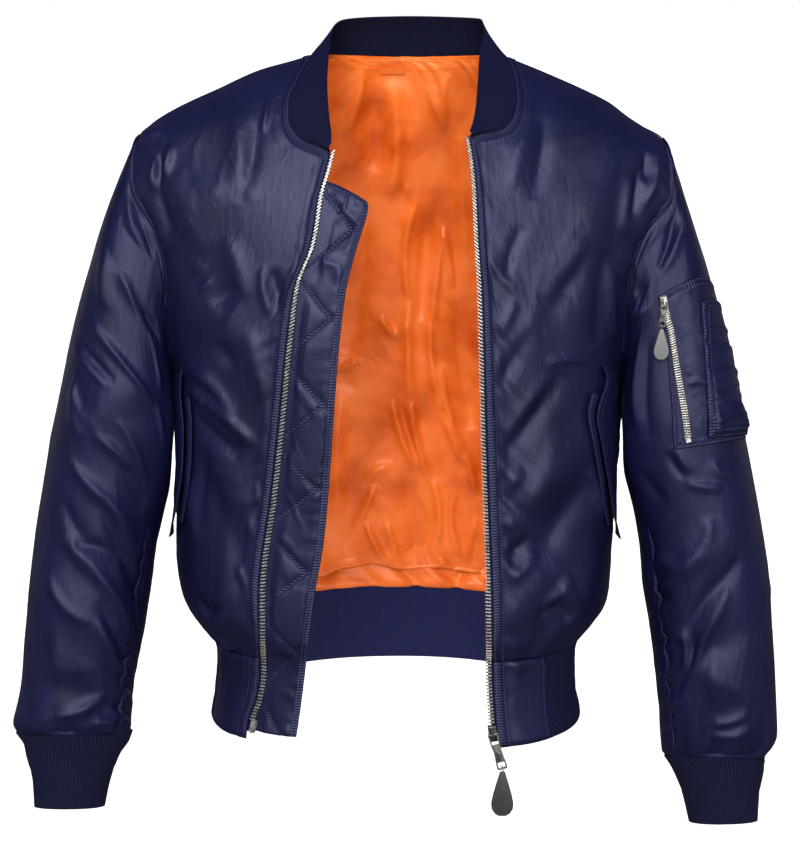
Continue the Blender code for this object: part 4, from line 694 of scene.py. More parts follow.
def hem_ring(height):
    """One level of the hem, from the right front edge round the back to the left front edge."""
    halves = []
    for side in (RIGHT, LEFT):
        start = side * half_width(side, FRONT, np.array(height - 1e-6))
        column = 1 if side == RIGHT else 2
        end = side * (read(ZIP_LINE, column, height) + CLOTH_TO_TEETH)
        x = start + (end - start) * SWEEP
        halves.append(row_across(FRONT, x, height + 0 * x, np.linspace(0, 1, FRONT_COLUMNS + 1)))
    share = (1 - np.cos(np.linspace(0, math.pi, 301))) - 1
    ends = [half_width(side, BACK, np.array(height - 1e-6)) for side in (RIGHT, LEFT)]
    x = np.where(share < 0, ends[0], ends[1]) * share
    columns = 2 * SHOULDER_COLUMNS + NECK_COLUMNS
    behind = row_across(BACK, x, height + 0 * x, np.linspace(0, 1, columns + 1))
    return np.concatenate([halves[0][::-1], behind[1:-1], halves[1]])


# ---- pieces that lie on the panels ----------------------------------------------------------------
def between(grid, row, column):
    """Values of a grid at fractional rows and columns, carried on straight past its edges."""
    row, column = np.broadcast_arrays(np.asarray(row, float), np.asarray(column, float))
    top = np.clip(np.floor(row).astype(int), 0, grid.shape[0] - 2)
    left = np.clip(np.floor(column).astype(int), 0, grid.shape[1] - 2)
    down = (row - top)[..., None]
    over = (column - left)[..., None]
    upper = grid[top, left] * (1 - over) + grid[top, left + 1] * over
    lower = grid[top + 1, left] * (1 - over) + grid[top + 1, left + 1] * over
    return upper * (1 - down) + lower * down


def on_cloth(cloth, row, column, lift):
    """Points at a height over a cloth, which is its skin and thickness directions."""
    skin, normals = cloth
    return between(skin, row, column) + between(normals, row, column) * np.asarray(lift)[..., None]


# ---- zip, wind flap and pulls ---------------------------------------------------------------------
def zip_strip(side, front, hem):
    """Two columns of skin and directions beside an opening edge, from the hem's end up to the collar."""
    top = SIDE_ROWS + ARMHOLE_ROWS - NECK_ROWS
    ends = [1, 0] if side == RIGHT else [-2, -1]
    parts = []
    for panel, low in zip(front, hem):
        parts.append(np.concatenate([low[::-1][:, ends], panel[1:top + 1, -2:]]))
    return parts


def zip_point(strip, z, away, lift):
    """A point beside the opening edge: away towards the opening, lift over the cloth."""
    skin, normals = strip
    z, away, lift = np.broadcast_arrays(*(np.asarray(value, float) for value in (z, away, lift)))
    row = np.interp(z, skin[:, 1, 2], np.arange(len(skin)))
    edge = between(skin, row, np.ones_like(row))
    beside = between(skin, row, np.zeros_like(row))
    width = np.linalg.norm(edge - beside, axis=-1)
    share = np.clip(1 + away / width, 0, 1)
    along = (away / width)[..., None]
    return edge + (edge - beside) * along + between(normals, row, share) * lift[..., None]


# ---- creases --------------------------------------------------------------------------------------
def soft_noise(u, v, size, seed, stretch=1.0, turn=0.0):
    """Smooth lumps between -1 and 1 over positions in millimetres."""
    angle = math.radians(turn)
    a = (u * math.cos(angle) + v * math.sin(angle)) / size
    b = (v * math.cos(angle) - u * math.sin(angle)) / (size * stretch)
    table = np.random.RandomState(seed).uniform(-1, 1, (64, 64))
    low_a = np.floor(a).astype(int)
    low_b = np.floor(b).astype(int)
    part_a = a - low_a
    part_b = b - low_b
    part_a = part_a**2 * (3 - 2 * part_a)
    part_b = part_b**2 * (3 - 2 * part_b)
    corner = [[table[(low_a + i) % 64, (low_b + j) % 64] for j in (0, 1)] for i in (0, 1)]
    start = corner[0][0] * (1 - part_b) + corner[0][1] * part_b
    end = corner[1][0] * (1 - part_b) + corner[1][1] * part_b
    return start * (1 - part_a) + end * part_a


def crumple(u, v, seed, turn):
    """Puffs and pinched lines of thin satin over wadding, drawn mostly one way."""
    bend_u = u + 16 * soft_noise(u, v, 70, seed + 7) + 5 * soft_noise(u, v, 22, seed + 8)
    bend_v = v + 16 * soft_noise(u, v, 70, seed + 9) + 5 * soft_noise(u, v, 22, seed + 10)
    broad = soft_noise(bend_u, bend_v, 58, seed, 1.7, turn)
    wide = soft_noise(bend_u, bend_v, 30, seed + 4, 2.0, turn + 15)
    lines = np.clip(1 - np.abs(soft_noise(bend_u, bend_v, 44, seed + 1, 2.4, turn + 8)) * 3.2, 0, 1)
    fine = np.clip(1 - np.abs(soft_noise(bend_u, bend_v, 20, seed + 2, 2.6, turn - 25)) * 2.8, 0, 1)
    calm = np.clip(0.5 + 1.3 * soft_noise(u, v, 95, seed + 3), 0.08, 1.2)
    return 2.4 * broad + calm * (1.3 * wide + 2.0 * lines**1.6 + 0.7 * fine**1.4)


def creases(table, across, along, stretch=1.0):
    """Height of the given creases, each a bent line that swells and dies away."""
    height = np.zeros(across.shape)
    for width, top, *spots in table:
        knots = np.array(spots, float).reshape(-1, 2) * (stretch, 1.0)
        if len(knots) == 3:
            t = np.linspace(0, 1, 9)[:, None]
            bend = 2 * knots[1] - (knots[0] + knots[2]) / 2
            knots = knots[0] * (1 - t) ** 2 + bend * 2 * t * (1 - t) + knots[2] * t**2
        steps = np.linalg.norm(np.diff(knots, axis=0), axis=1)
        before = np.concatenate([[0], np.cumsum(steps)])
        low = knots.min(axis=0) - 3 * width
        high = knots.max(axis=0) + 3 * width
        near = (across > low[0]) & (across < high[0]) & (along > low[1]) & (along < high[1])
        here = np.stack([across[near], along[near]], axis=-1)
        aside = np.full(len(here), 1e6)
        share = np.zeros(len(here))
        for at, step in enumerate(steps):
            run = (knots[at + 1] - knots[at]) / step
            way = np.clip((here - knots[at]) @ run, 0, step)
            far = np.linalg.norm(here - knots[at] - way[:, None] * run, axis=-1)
            share = np.where(far < aside, (before[at] + way) / before[-1], share)
            aside = np.minimum(far, aside)
        taper = np.clip(4 * share * (1 - share), 0, 1) ** 0.6
        height[near] += top * taper * np.exp(-((aside / width) ** 1.7))
    return height


def gathers(run, away, pitch, depth, reach, seed):
    """Uneven puckers that a seam draws up: along the seam, and dying away from it."""
    knots = np.random.RandomState(seed).uniform(-1, 1, 512)
    at = np.abs(run) / pitch
    spot = np.floor(at).astype(int)
    part = at - spot
    part = part**2 * (3 - 2 * part)
    wave = knots[spot % 512] * (1 - part) + knots[(spot + 1) % 512] * part
    return depth * wave * np.exp(-away / reach) * np.clip(away / 3, 0, 1)


def lengths(points):
    """Way along each row and up each column of a grid of points."""
    across = np.zeros(points.shape[:2])
    along = np.zeros(points.shape[:2])
    across[:, 1:] = np.cumsum(np.linalg.norm(np.diff(points, axis=1), axis=2), axis=1)
    along[1:] = np.cumsum(np.linalg.norm(np.diff(points, axis=0), axis=2), axis=0)
    return across, along


def grid_normals(points, outward, tube=False):
    """Directions square to a grid of points, on the side of the given rough directions."""
    if tube:
        around = np.roll(points, -1, axis=1) - np.roll(points, 1, axis=1)
    else:
        around = np.gradient(points, axis=1)
    square = unit(np.cross(around, np.gradient(points, axis=0)))
    return square * np.sign(np.sum(square * outward))


def relax(points, times, tube=False):
    """Even out a grid of points, with its ends held."""
    points = points.copy()
    for _ in range(times):
        after = points.copy()
        after[1:-1] = (points[:-2] + points[2:] + 2 * points[1:-1]) / 4
        if tube:
            after = (np.roll(after, 1, axis=1) + np.roll(after, -1, axis=1) + 2 * after) / 4
        else:
            after[:, 1:-1] = (after[:, :-2] + after[:, 2:] + 2 * after[:, 1:-1]) / 4
        after[0] = points[0]
        after[-1] = points[-1]
        if not tube:
            after[:, 0] = points[:, 0]
            after[:, -1] = points[:, -1]
        points = after
    return points


def linear(code):
    """A colour written in sRGB hex, as linear values."""
    parts = [int(code[at:at + 2], 16) / 255 for at in (0, 2, 4)]
    return [part / 12.92 if part <= 0.04045 else ((part + 0.055) / 1.055) ** 2.4 for part in parts] + [1.0]


def cloth_piece(name, points, outward, finish, thick, inside=None, seam=None, run=None, tube=False, nodes=()):
    """A grid bent to its points, with its thickness added inwards."""
    if tube:
        points = np.concatenate([points, points[:, :1]], axis=1)
        outward = np.concatenate([outward, outward[:, :1]], axis=1)
        if seam is not None:
            seam = np.concatenate([seam, seam[:, :1]], axis=1)
            run = np.concatenate([run, run[:, :1]], axis=1)
    rows, columns = points.shape[:2]
    across, along = lengths(points)
    shape = bmesh.new()
    bmesh.ops.create_grid(shape, x_segments=columns - 1, y_segments=rows - 1, size=0.5, calc_uvs=True)
    mesh = bpy.data.meshes.new(name)
    shape.to_mesh(mesh)
    mesh.uv_layers.new(name="UVMap")
    mesh.vertices.foreach_set("co", (points * MM).astype(np.float32).ravel())
    corner = np.empty(len(mesh.loops), int)
    mesh.loops.foreach_get("vertex_index", corner)
    flat = np.stack([across, along], axis=-1).reshape(-1, 2)[corner] * MM
    mesh.uv_layers[0].data.foreach_set("uv", flat.astype(np.float32).ravel())
    for word, values in (("seam", seam), ("run", run)):
        if values is not None:
            layer = mesh.attributes.new(word, "FLOAT", "POINT")
            layer.data.foreach_set("value", values.astype(np.float32).ravel())
    middle = rows // 2, columns // 2
    step_a = points[middle[0], middle[1] + 1] - points[middle]
    step_b = points[middle[0] + 1, middle[1]] - points[middle]
    if np.dot(np.cross(step_a, step_b), outward[middle]) < 0:
        mesh.flip_normals()
    shape.free()
    if tube:
        shape = bmesh.new()
        shape.from_mesh(mesh)
        ends = [vert for vert in shape.verts if vert.index % columns in (0, columns - 1)]
        bmesh.ops.remove_doubles(shape, verts=ends, dist=1e-6)
        shape.to_mesh(mesh)
        shape.free()
    item = place(name, mesh, [finish, inside or finish], "jacket", nodes)
    wall = item.modifiers.new("thickness", "SOLIDIFY")
    wall.thickness = thick * MM
    wall.offset = -1
    wall.material_offset = 1


def place(name, mesh, finishes, body, nodes):
    """Link a piece, dress it, tie it to its body and hide its nodes."""
    item = bpy.data.objects.new(name, mesh)
    bpy.context.scene.collection.objects.link(item)
    mesh.materials.clear()
    for finish in finishes:
        mesh.materials.append(finish)
    mesh.shade_smooth()
    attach(item, body)
    if nodes:
        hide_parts(*nodes)
    return item


# ---- finishes -------------------------------------------------------------------------------------
MATH = "ShaderNodeMath"
SATIN_THREAD = "4A4E78"


def add_node(tree, kind, settings=None, stops=(), **links):
    """Add a shader node with its settings, the stops of its ramp, and its inputs linked or set."""
    node = tree.nodes.new(kind)
    for key, value in (settings or {}).items():
        setattr(node, key, value)
    while stops and len(node.color_ramp.elements) < len(stops):
        node.color_ramp.elements.new(0.5)
    for at, (spot, colour) in enumerate(stops):
        node.color_ramp.elements[at].position = spot
        node.color_ramp.elements[at].color = linear(colour) if isinstance(colour, str) else (colour,) * 3 + (1.0,)
    for key, value in links.items():
        numbered = key.startswith("in") and key[2:].isdigit()
        socket = node.inputs[int(key[2:]) if numbered else key.replace("_", " ")]
        if isinstance(value, bpy.types.Node):
            value = value.outputs[0]
        if isinstance(value, bpy.types.NodeSocket):
            tree.links.new(value, socket)
        else:
            socket.default_value = value
    return node


def new_finish(name, **sockets):
    """A material with its shader's constant sockets set."""
    finish = bpy.data.materials.new(name)
    finish.use_nodes = True
    shader = finish.node_tree.nodes["Principled BSDF"]
    for key, value in sockets.items():
        shader.inputs[key.replace("_", " ")].default_value = value
    return finish, finish.node_tree, shader


def make_satin(name, base, deep, pale, gleam, rows_at=(), rough=0.49, band=0.0, cloudy=False, shine=0.5):
    """Woven nylon flight satin: a smooth face that throws a broad soft gleam, with the weave just felt.

    The floats of the weave run one way, so the gleam is a little streaked; thin wadding under it shows as
    soft lumps, and each row of stitches sits in a shallow groove.
    """
    finish, tree, shader = new_finish(name, Roughness=rough, Specular_IOR_Level=shine, Specular_Tint=linear(gleam))
    uv = add_node(tree, "ShaderNodeUVMap")
    cloud = add_node(tree, "ShaderNodeTexNoise", Vector=uv, Scale=14.0, Detail=3.0, Roughness=0.55)
    stops = ((0.3, deep), (0.55, base), (0.8, pale if cloudy else base))
    tone = add_node(tree, "ShaderNodeValToRGB", stops=stops, in0=cloud)
    # threads of 0.25 mm are drawn about four times as coarse, so that they show at all
    weave_map = add_node(tree, "ShaderNodeMapping", Vector=uv, Scale=(1000.0, 260.0, 1.0))
    weave = add_node(tree, "ShaderNodeTexNoise", Vector=weave_map, Scale=1.0, Detail=1.0)
    wrinkle_map = add_node(tree, "ShaderNodeMapping", Vector=uv, Scale=(1.0, 0.45, 1.0), Rotation=(0, 0, 0.5))
    wrinkle = add_node(tree, "ShaderNodeTexNoise", Vector=wrinkle_map, Scale=70.0, Detail=4.0, Roughness=0.5,
                       Distortion=0.7)
    seam = add_node(tree, "ShaderNodeAttribute", {"attribute_name": "seam"}).outputs["Fac"]
    run = add_node(tree, "ShaderNodeAttribute", {"attribute_name": "run"}).outputs["Fac"]
    count = add_node(tree, MATH, {"operation": "DIVIDE"}, in0=run, in1=3.2)
    part = add_node(tree, MATH, {"operation": "FRACT"}, in0=count)
    dash = add_node(tree, MATH, {"operation": "LESS_THAN"}, in0=part, in1=0.72)
    stitch, groove = 0.0, 0.0
    for at in rows_at:
        beside = add_node(tree, MATH, {"operation": "SUBTRACT"}, in0=seam, in1=at)
        off = add_node(tree, MATH, {"operation": "ABSOLUTE"}, in0=beside)
        line = add_node(tree, MATH, {"operation": "MULTIPLY_ADD", "use_clamp": True}, in0=off, in1=-1.8, in2=1.0)
        fall = add_node(tree, MATH, {"operation": "MULTIPLY"}, in0=off, in1=-0.8)
        dip = add_node(tree, MATH, {"operation": "EXPONENT"}, in0=fall)
        stitch = add_node(tree, MATH, {"operation": "MAXIMUM"}, in0=line, in1=stitch)
        groove = add_node(tree, MATH, {"operation": "MAXIMUM"}, in0=dip, in1=groove)
    stitch = add_node(tree, MATH, {"operation": "MULTIPLY"}, in0=stitch, in1=dash)
    turns = add_node(tree, MATH, {"operation": "MULTIPLY"}, in0=run, in1=math.tau / 2.8)
    wave = add_node(tree, MATH, {"operation": "SINE"}, in0=turns)
    inside = add_node(tree, MATH, {"operation": "LESS_THAN"}, in0=seam, in1=band)
    pucker = add_node(tree, MATH, {"operation": "MULTIPLY"}, in0=wave, in1=inside)
    height = add_node(tree, MATH, {"operation": "MULTIPLY"}, in0=weave, in1=0.1)
    for source, share in ((wrinkle, 1.1), (pucker, 0.28), (groove, -0.5), (stitch, 0.35)):
        height = add_node(tree, MATH, {"operation": "MULTIPLY_ADD"}, in0=source, in1=share, in2=height)
    bump = add_node(tree, "ShaderNodeBump", Strength=0.75, Distance=0.001, Height=height)
    thread = add_node(tree, MATH, {"operation": "MULTIPLY"}, in0=stitch, in1=0.45)
    colour = add_node(tree, "ShaderNodeMix", {"data_type": "RGBA"}, in0=thread, in6=tone, in7=linear(pale))
    uneven = add_node(tree, MATH, {"operation": "MULTIPLY_ADD"}, in0=cloud, in1=0.1, in2=rough - 0.05)
    tree.links.new(colour.outputs[2], shader.inputs["Base Color"])
    tree.links.new(uneven.outputs[0], shader.inputs["Roughness"])
    tree.links.new(bump.outputs[0], shader.inputs["Normal"])
    return finish


def make_knit(name, base, deep, sheen=0.2):
    """Ribbed acrylic knit: matt and slightly fuzzy, each rib a column of small loops, its grooves in painted shade.
    """
    finish, tree, shader = new_finish(name, Roughness=0.85, Specular_IOR_Level=0.15, Sheen_Weight=sheen,
                                      Sheen_Roughness=0.6, Sheen_Tint=linear(base))
    uv = add_node(tree, "ShaderNodeUVMap")
    run = add_node(tree, "ShaderNodeAttribute", {"attribute_name": "run"}).outputs["Fac"]
    seam = add_node(tree, "ShaderNodeAttribute", {"attribute_name": "seam"}).outputs["Fac"]
    # run counts ribs, so one rib is one wave, which paints shade into the grooves in the deeper colour; the loops of
    # 1.3 mm lie along it
    turns = add_node(tree, MATH, {"operation": "MULTIPLY"}, in0=run, in1=math.tau)
    rib = add_node(tree, MATH, {"operation": "COSINE"}, in0=turns)
    loop_turns = add_node(tree, MATH, {"operation": "MULTIPLY"}, in0=seam, in1=math.tau / 1.3)
    loops = add_node(tree, MATH, {"operation": "SINE"}, in0=loop_turns)
    level = add_node(tree, MATH, {"operation": "MULTIPLY_ADD"}, in0=rib, in1=0.5, in2=0.5)
    tone = add_node(tree, "ShaderNodeValToRGB", stops=((0.0, base), (0.75, deep)), in0=level)
    fuzz = add_node(tree, "ShaderNodeTexNoise", Vector=uv, Scale=900.0, Detail=2.0)
    height = add_node(tree, MATH, {"operation": "MULTIPLY"}, in0=fuzz, in1=0.25)
    height = add_node(tree, MATH, {"operation": "MULTIPLY_ADD"}, in0=loops, in1=0.12, in2=height)
    bump = add_node(tree, "ShaderNodeBump", Strength=0.7, Distance=0.001, Height=height)
    tree.links.new(tone.outputs[0], shader.inputs["Base Color"])
    tree.links.new(bump.outputs[0], shader.inputs["Normal"])
    return finish


def make_metal(name, pale, deep, rough, metallic):
    """Cast and tumbled zinc alloy: a soft metal gleam with darker patches at random and fine scuffs."""
    finish, tree, shader = new_finish(name, Metallic=metallic, Roughness=rough)
    spot = add_node(tree, "ShaderNodeTexCoord").outputs["Object"]
    scuff = add_node(tree, "ShaderNodeTexNoise", Vector=spot, Scale=260.0, Detail=4.0)
    tone = add_node(tree, "ShaderNodeValToRGB", stops=((0.3, deep), (0.65, pale)), in0=scuff)
    bump = add_node(tree, "ShaderNodeBump", Strength=0.25, Distance=0.0003, Height=scuff)
    rougher = add_node(tree, MATH, {"operation": "MULTIPLY_ADD"}, in0=scuff, in1=0.25, in2=rough - 0.1)
    tree.links.new(tone.outputs[0], shader.inputs["Base Color"])
    tree.links.new(rougher.outputs[0], shader.inputs["Roughness"])
    tree.links.new(bump.outputs[0], shader.inputs["Normal"])
    return finish


def make_rubber(name, base, deep):
    """Moulded rubber: dull, with a faint grain from its mould."""
    finish, tree, shader = new_finish(name, Roughness=0.48, Specular_IOR_Level=0.5)
    spot = add_node(tree, "ShaderNodeTexCoord").outputs["Object"]
    grain = add_node(tree, "ShaderNodeTexNoise", Vector=spot, Scale=1200.0, Detail=2.0)
    tone = add_node(tree, "ShaderNodeValToRGB", stops=((0.3, deep), (0.7, base)), in0=grain)
    bump = add_node(tree, "ShaderNodeBump", Strength=0.3, Distance=0.0002, Height=grain)
    tree.links.new(tone.outputs[0], shader.inputs["Base Color"])
    tree.links.new(bump.outputs[0], shader.inputs["Normal"])
    return finish


NAVY = ("080A2A", "050722", SATIN_THREAD, "D6DAFF")
TANGERINE = ("DA6826", "B2440A", "E67C44", "FFCFB4")
PANEL = make_satin("navy_flight_satin", *NAVY, rows_at=(2.5, 10.5), band=11.0)
PATCH = make_satin("navy_pocket_satin", *NAVY, rows_at=(2.0, 7.5), band=8.0, shine=0.42)
QUILTED = make_satin("navy_quilted_satin", *NAVY, rows_at=(1.5, 5.5), band=6.5)
SLEEVED = make_satin("navy_sleeve_satin", *NAVY, rows_at=(1.4,), band=9.0, shine=0.36)
PLAIN = make_satin("navy_plain_satin", *NAVY)
ORANGE = make_satin("orange_lining_satin", *TANGERINE, rough=0.36, cloudy=True)
LINED = make_satin("orange_sewn_lining", *TANGERINE, rows_at=(3.0, 13.0), rough=0.34, cloudy=True)
# The second colour of each knit is painted shade for the grooves between its ribs.
KNIT = make_knit("navy_rib_knit", "090C2D", "04061A")
# A lighter copy of the rib knit for the inner side of the cuffs and hem: painted light, because that side sits in
# shade.
KNIT_PAINTED_LIGHTER = make_knit("navy_rib_knit_reverse", "252A5A", "15183A", 0.4)
SILVER = make_metal("zip_alloy", "D4D2CC", "85827C", 0.4, 0.85)
BLACKENED = make_metal("blackened_alloy", "6A6B66", "2C2C2A", 0.3, 0.9)
GUNMETAL = make_metal("pull_alloy", "83867F", "4A4C48", 0.36, 0.85)
BLACK_RUBBER = make_rubber("black_moulded_rubber", "2B2B2B", "1C1C1C")
GREY_RUBBER = make_rubber("grey_moulded_rubber", "6A6A69", "4E4E4D")


# ---- fronts and back ------------------------------------------------------------------------------
# Creases: half width, height over the cloth, then x and z of its start, middle and end
FRONT_CREASES = {
    RIGHT: (
        (3.5, 3.2, -241, -68, -243, -99), (4, 3, -224, -56, -231, -86), (4, 2.6, -260, -53, -234, -41),
        (3, -2.4, -235, -62, -236, -94), (14, 2.4, -225, -83, -207, -122, -188, -158),
        (7, -3, -237, -91, -232, -117, -222, -145), (9, -2.6, -181, -208, -169, -197, -156, -188),
        (2.5, 1.8, -203, -177, -195, -165), (2.5, 1.8, -198, -180, -188, -167),
        (3, 2, -196, -194, -182, -184), (6, -2.8, -123, -172, -119, -191, -112, -214),
        (10, 2.6, -146, -230, -139, -264, -127, -301), (8, -2.4, -174, -243, -169, -257, -158, -267),
        (6, 3.2, -208, -279, -188, -283, -161, -317), (6, 3.8, -196, -303, -169, -318, -141, -343),
        (5, -3, -201, -323, -183, -336, -155, -353), (4, 2.6, -206, -294, -192, -307),
        (11, 2.4, -166, -388, -171, -443, -173, -504), (3.5, 2.6, -148, -416, -144, -427, -138, -441),
        (3.5, 3.2, -159, -462, -153, -477, -143, -491), (3, 2.2, -141, -379, -133, -404),
        (6, -2.4, -208, -500, -194, -516, -181, -506), (5, 2.2, -205, -507, -190, -526, -173, -516),
        (12, 2.2, -160, -21, -154, -69, -143, -111), (8, -2.2, -139, -31, -145, -74, -155, -110),
        (10, 2.2, -173, -145, -158, -166, -151, -200), (4, 2.2, -132, -170, -131, -192, -124, -216),
        (3, 2, -128, -8, -130, -24, -134, -42), (8, -2, -192, -351, -198, -393, -203, -434),
        (7, 2, -214, -379, -209, -415, -205, -453),
    ),
    LEFT: (
        (5, -4, 236, -74, 233, -98, 228, -128), (4, -3, 242, -62, 243, -91),
        (7, 2.6, 228, -85, 223, -112, 218, -145), (3.5, 2.6, 253, -62, 252, -87, 240, -114),
        (14, 2.6, 181, -145, 162, -172, 140, -201), (11, -3.2, 190, -146, 160, -189, 128, -229),
        (8, -3, 128, -225, 110, -254, 94, -284), (12, 2.6, 156, -192, 126, -228, 101, -262),
        (3, 2.2, 142, -262, 160, -260, 180, -263), (11, -3.4, 158, -271, 128, -312, 96, -353),
        (8, 3, 150, -274, 125, -302, 98, -341), (17, 2.8, 155, -328, 141, -365, 120, -406),
        (13, -3.4, 190, -383, 162, -419, 133, -462), (6, 2.8, 135, -447, 120, -463, 104, -473),
        (5, -2.6, 127, -433, 114, -442, 98, -455), (2.5, 2.4, 95, -437, 102, -439, 110, -449),
        (2.5, 2, 94, -416, 113, -417), (4, 2.8, 98, -533, 105, -537, 119, -543),
        (5, 3, 142, -507, 163, -491, 179, -516), (4, 2.2, 158, -487, 170, -478),
        (5, -2.6, 137, -514, 153, -504, 169, -522), (5, 2.6, 187, -371, 197, -397, 204, -428),
        (3, 2.4, 201, -284, 211, -298, 220, -313), (9, 2.4, 127, -31, 115, -60, 108, -97),
        (7, -2.2, 141, -28, 136, -68, 127, -105), (3, 2.6, 110, -23, 103, -34, 100, -50),
        (6, -2.4, 120, -129, 108, -152, 102, -181), (5, 2.2, 112, -200, 104, -216, 95, -233),
        (5, -2.4, 102, -372, 95, -382, 93, -394), (6, 2.8, 120, -366, 107, -377, 98, -391),
        (10, -2.6, 200, -155, 195, -203, 194, -248), (6, 2, 207, -167, 209, -206, 213, -246),
    ),
}
BACK_CREASES = (
    (14, 4.2, -215, -110, -162, -180, -90, -230), (12, -3, -200, -150, -146, -236, -110, -330),
    (11, 4, -205, -320, -140, -385, -60, -430), (10, -3.2, -170, -360, -96, -422, -40, -500),
    (12, 3.8, -150, -540, -98, -497, -60, -440), (12, 4, 40, -450, 116, -485, 180, -540),
    (12, 3.8, 60, -400, 138, -371, 205, -320), (8, -3, 80, -440, 132, -408, 190, -390),
    (14, 4, 90, -230, 142, -165, 212, -120), (9, -2.8, 120, -300, 169, -240, 200, -170),
    (16, -2.6, -70, -90, 5, -105, 80, -96), (20, 2.6, -20, -180, -19, -302, 10, -420),
    (9, 3.2, -90, -560, -80, -530, -70, -500), (9, 3.2, 60, -560, 68, -529, 76, -498),
)
ARMHOLE_GATHER = 2.2
HEM_GATHER = 4.4
ZIP_BAND = 10.5         # width of the stitched band beside the zip
ZIP_PUCKERS = {RIGHT: (9.0, 2.0, 13.0, -0.4), LEFT: (14.0, 2.8, 26.0, -0.9)}   # pitch, depth, reach, lean


def settle(grid, normals, times=40):
    """A panel's points evened out inside its seams, with directions square to them."""
    smooth = relax(grid, times)
    rows, columns = grid.shape[:2]
    weight = edge_fade(rows, columns, 10.0)[..., None]
    return smooth, unit(grid_normals(smooth, normals) * weight + normals * (1 - weight))


def held_at(distance):
    """Share of its relief that cloth keeps beside a seam, where both pieces have to meet."""
    return np.clip(distance / 5, 0, 1) ** 0.7


def seam_dip(away, deep=1.3, reach=2.0):
    """The groove beside a sewn seam, which is level with it at the seam itself."""
    return -deep * away / reach * np.exp(1 - away / reach)


def seam_distances(grid):
    """Distances of a grid's points from its four edges: first and last column, first and last row."""
    across, along = lengths(grid)
    return across, across[:, -1:] - across, along, along[-1:] - along


def finish_front(side, name, nodes):
    """One front, with the folds that its zip, pocket, armhole and hem pull into it."""
    grid = front_grid(side)
    grid, normals = settle(grid, front_normals(side, grid))
    from_side, from_edge, from_hem, from_top = seam_distances(grid)
    _, along = lengths(grid)
    height = 1.7 * creases(FRONT_CREASES[side], grid[..., 0], grid[..., 2])
    height = height + folds(FRONT_FOLDS[side], grid[..., 0], grid[..., 2]) * 0.8
    calm = np.clip((-130 - grid[..., 2]) / 220, 0, 1)
    height = height + (0.28 + 0.24 * calm) * crumple(from_side, along, 11 + side, 38 * side)
    calm = np.clip(from_side / 18, 0, 1) * np.clip((from_edge - 11) / 12, 0, 1)
    calm = calm * np.clip(from_hem / 16, 0, 1) * np.clip(from_top / 14, 0, 1)
    height = (height - 1.2) * calm
    height = height + gathers(from_side, from_hem, 15, HEM_GATHER, 34, 5 + side) * np.clip(from_edge / 20, 0, 1)
    height = height + gathers(along, from_side, 7, ARMHOLE_GATHER, 13, 21 + side)
    beside = np.clip(from_edge - ZIP_BAND, 0, None)
    pitch, deep, reach, lean = ZIP_PUCKERS[side]
    drawn = gathers(along - lean * from_edge + 500, beside, pitch, deep, reach, 31 + side)
    height = height + drawn * np.clip((-60 - grid[..., 2]) / 120, 0.25, 1)
    band = np.clip(1 - np.abs(from_edge - ZIP_BAND / 2 - 1) / 4.5, 0, 1) ** 0.5
    height = height + band * (0.9 + 0.35 * np.sin(along * 1.16 + 2 * soft_noise(along, from_edge * 0, 20, 41)))
    height = height * held_at(np.minimum(from_side, from_hem))
    height = height + seam_dip(beside, 0.9, 1.2) + seam_dip(from_side) + seam_dip(from_hem) + seam_dip(from_top, 0.8)
    skin = grid + normals * height[..., None]
    above = np.arange(len(grid))[:, None] > SIDE_ROWS
    seam = np.minimum(from_edge, np.where(above & (from_side < 6), from_side, 100.0))
    cloth_piece(name, skin, normals, PANEL, SHELL, ORANGE, seam, along, nodes=nodes)


def finish_back():
    """The back, with the drag lines that the sleeves and the hem pull into it."""
    grid = back_grid()
    grid, normals = settle(grid, back_normals(grid))
    from_right, from_left, from_hem, from_top = seam_distances(grid)
    across, along = lengths(grid)
    height = 1.7 * creases(BACK_CREASES, grid[..., 0], grid[..., 2])
    height = height + folds(BACK_FOLDS, grid[..., 0], grid[..., 2]) * 0.8
    share = np.clip(0.5 + grid[..., 0] / 120, 0, 1)
    right_half = crumple(across, along, 61, 35)
    left_half = crumple(across, along, 63, -35)
    height = height + 0.6 * (right_half * (1 - share) + left_half * share)
    nearest = np.minimum(from_right, from_left)
    calm = np.clip(nearest / 18, 0, 1) * np.clip(from_hem / 16, 0, 1) * np.clip(from_top / 16, 0, 1)
    height = (height - 1.2) * calm
    height = height + gathers(across, from_hem, 15, HEM_GATHER, 34, 65)
    height = height + gathers(along, nearest, 9, ARMHOLE_GATHER, 16, 66)
    height = height + gathers(across, from_top, 9, 0.8, 20, 67)
    height = height * held_at(np.minimum(nearest, from_hem))
    height = height + seam_dip(nearest) + seam_dip(from_hem) + seam_dip(from_top, 0.8)
    skin = grid + normals * height[..., None]
    cloth_piece("back_shell", skin, normals, PLAIN, SHELL, ORANGE, from_top, across,
                nodes=["back_panel"])


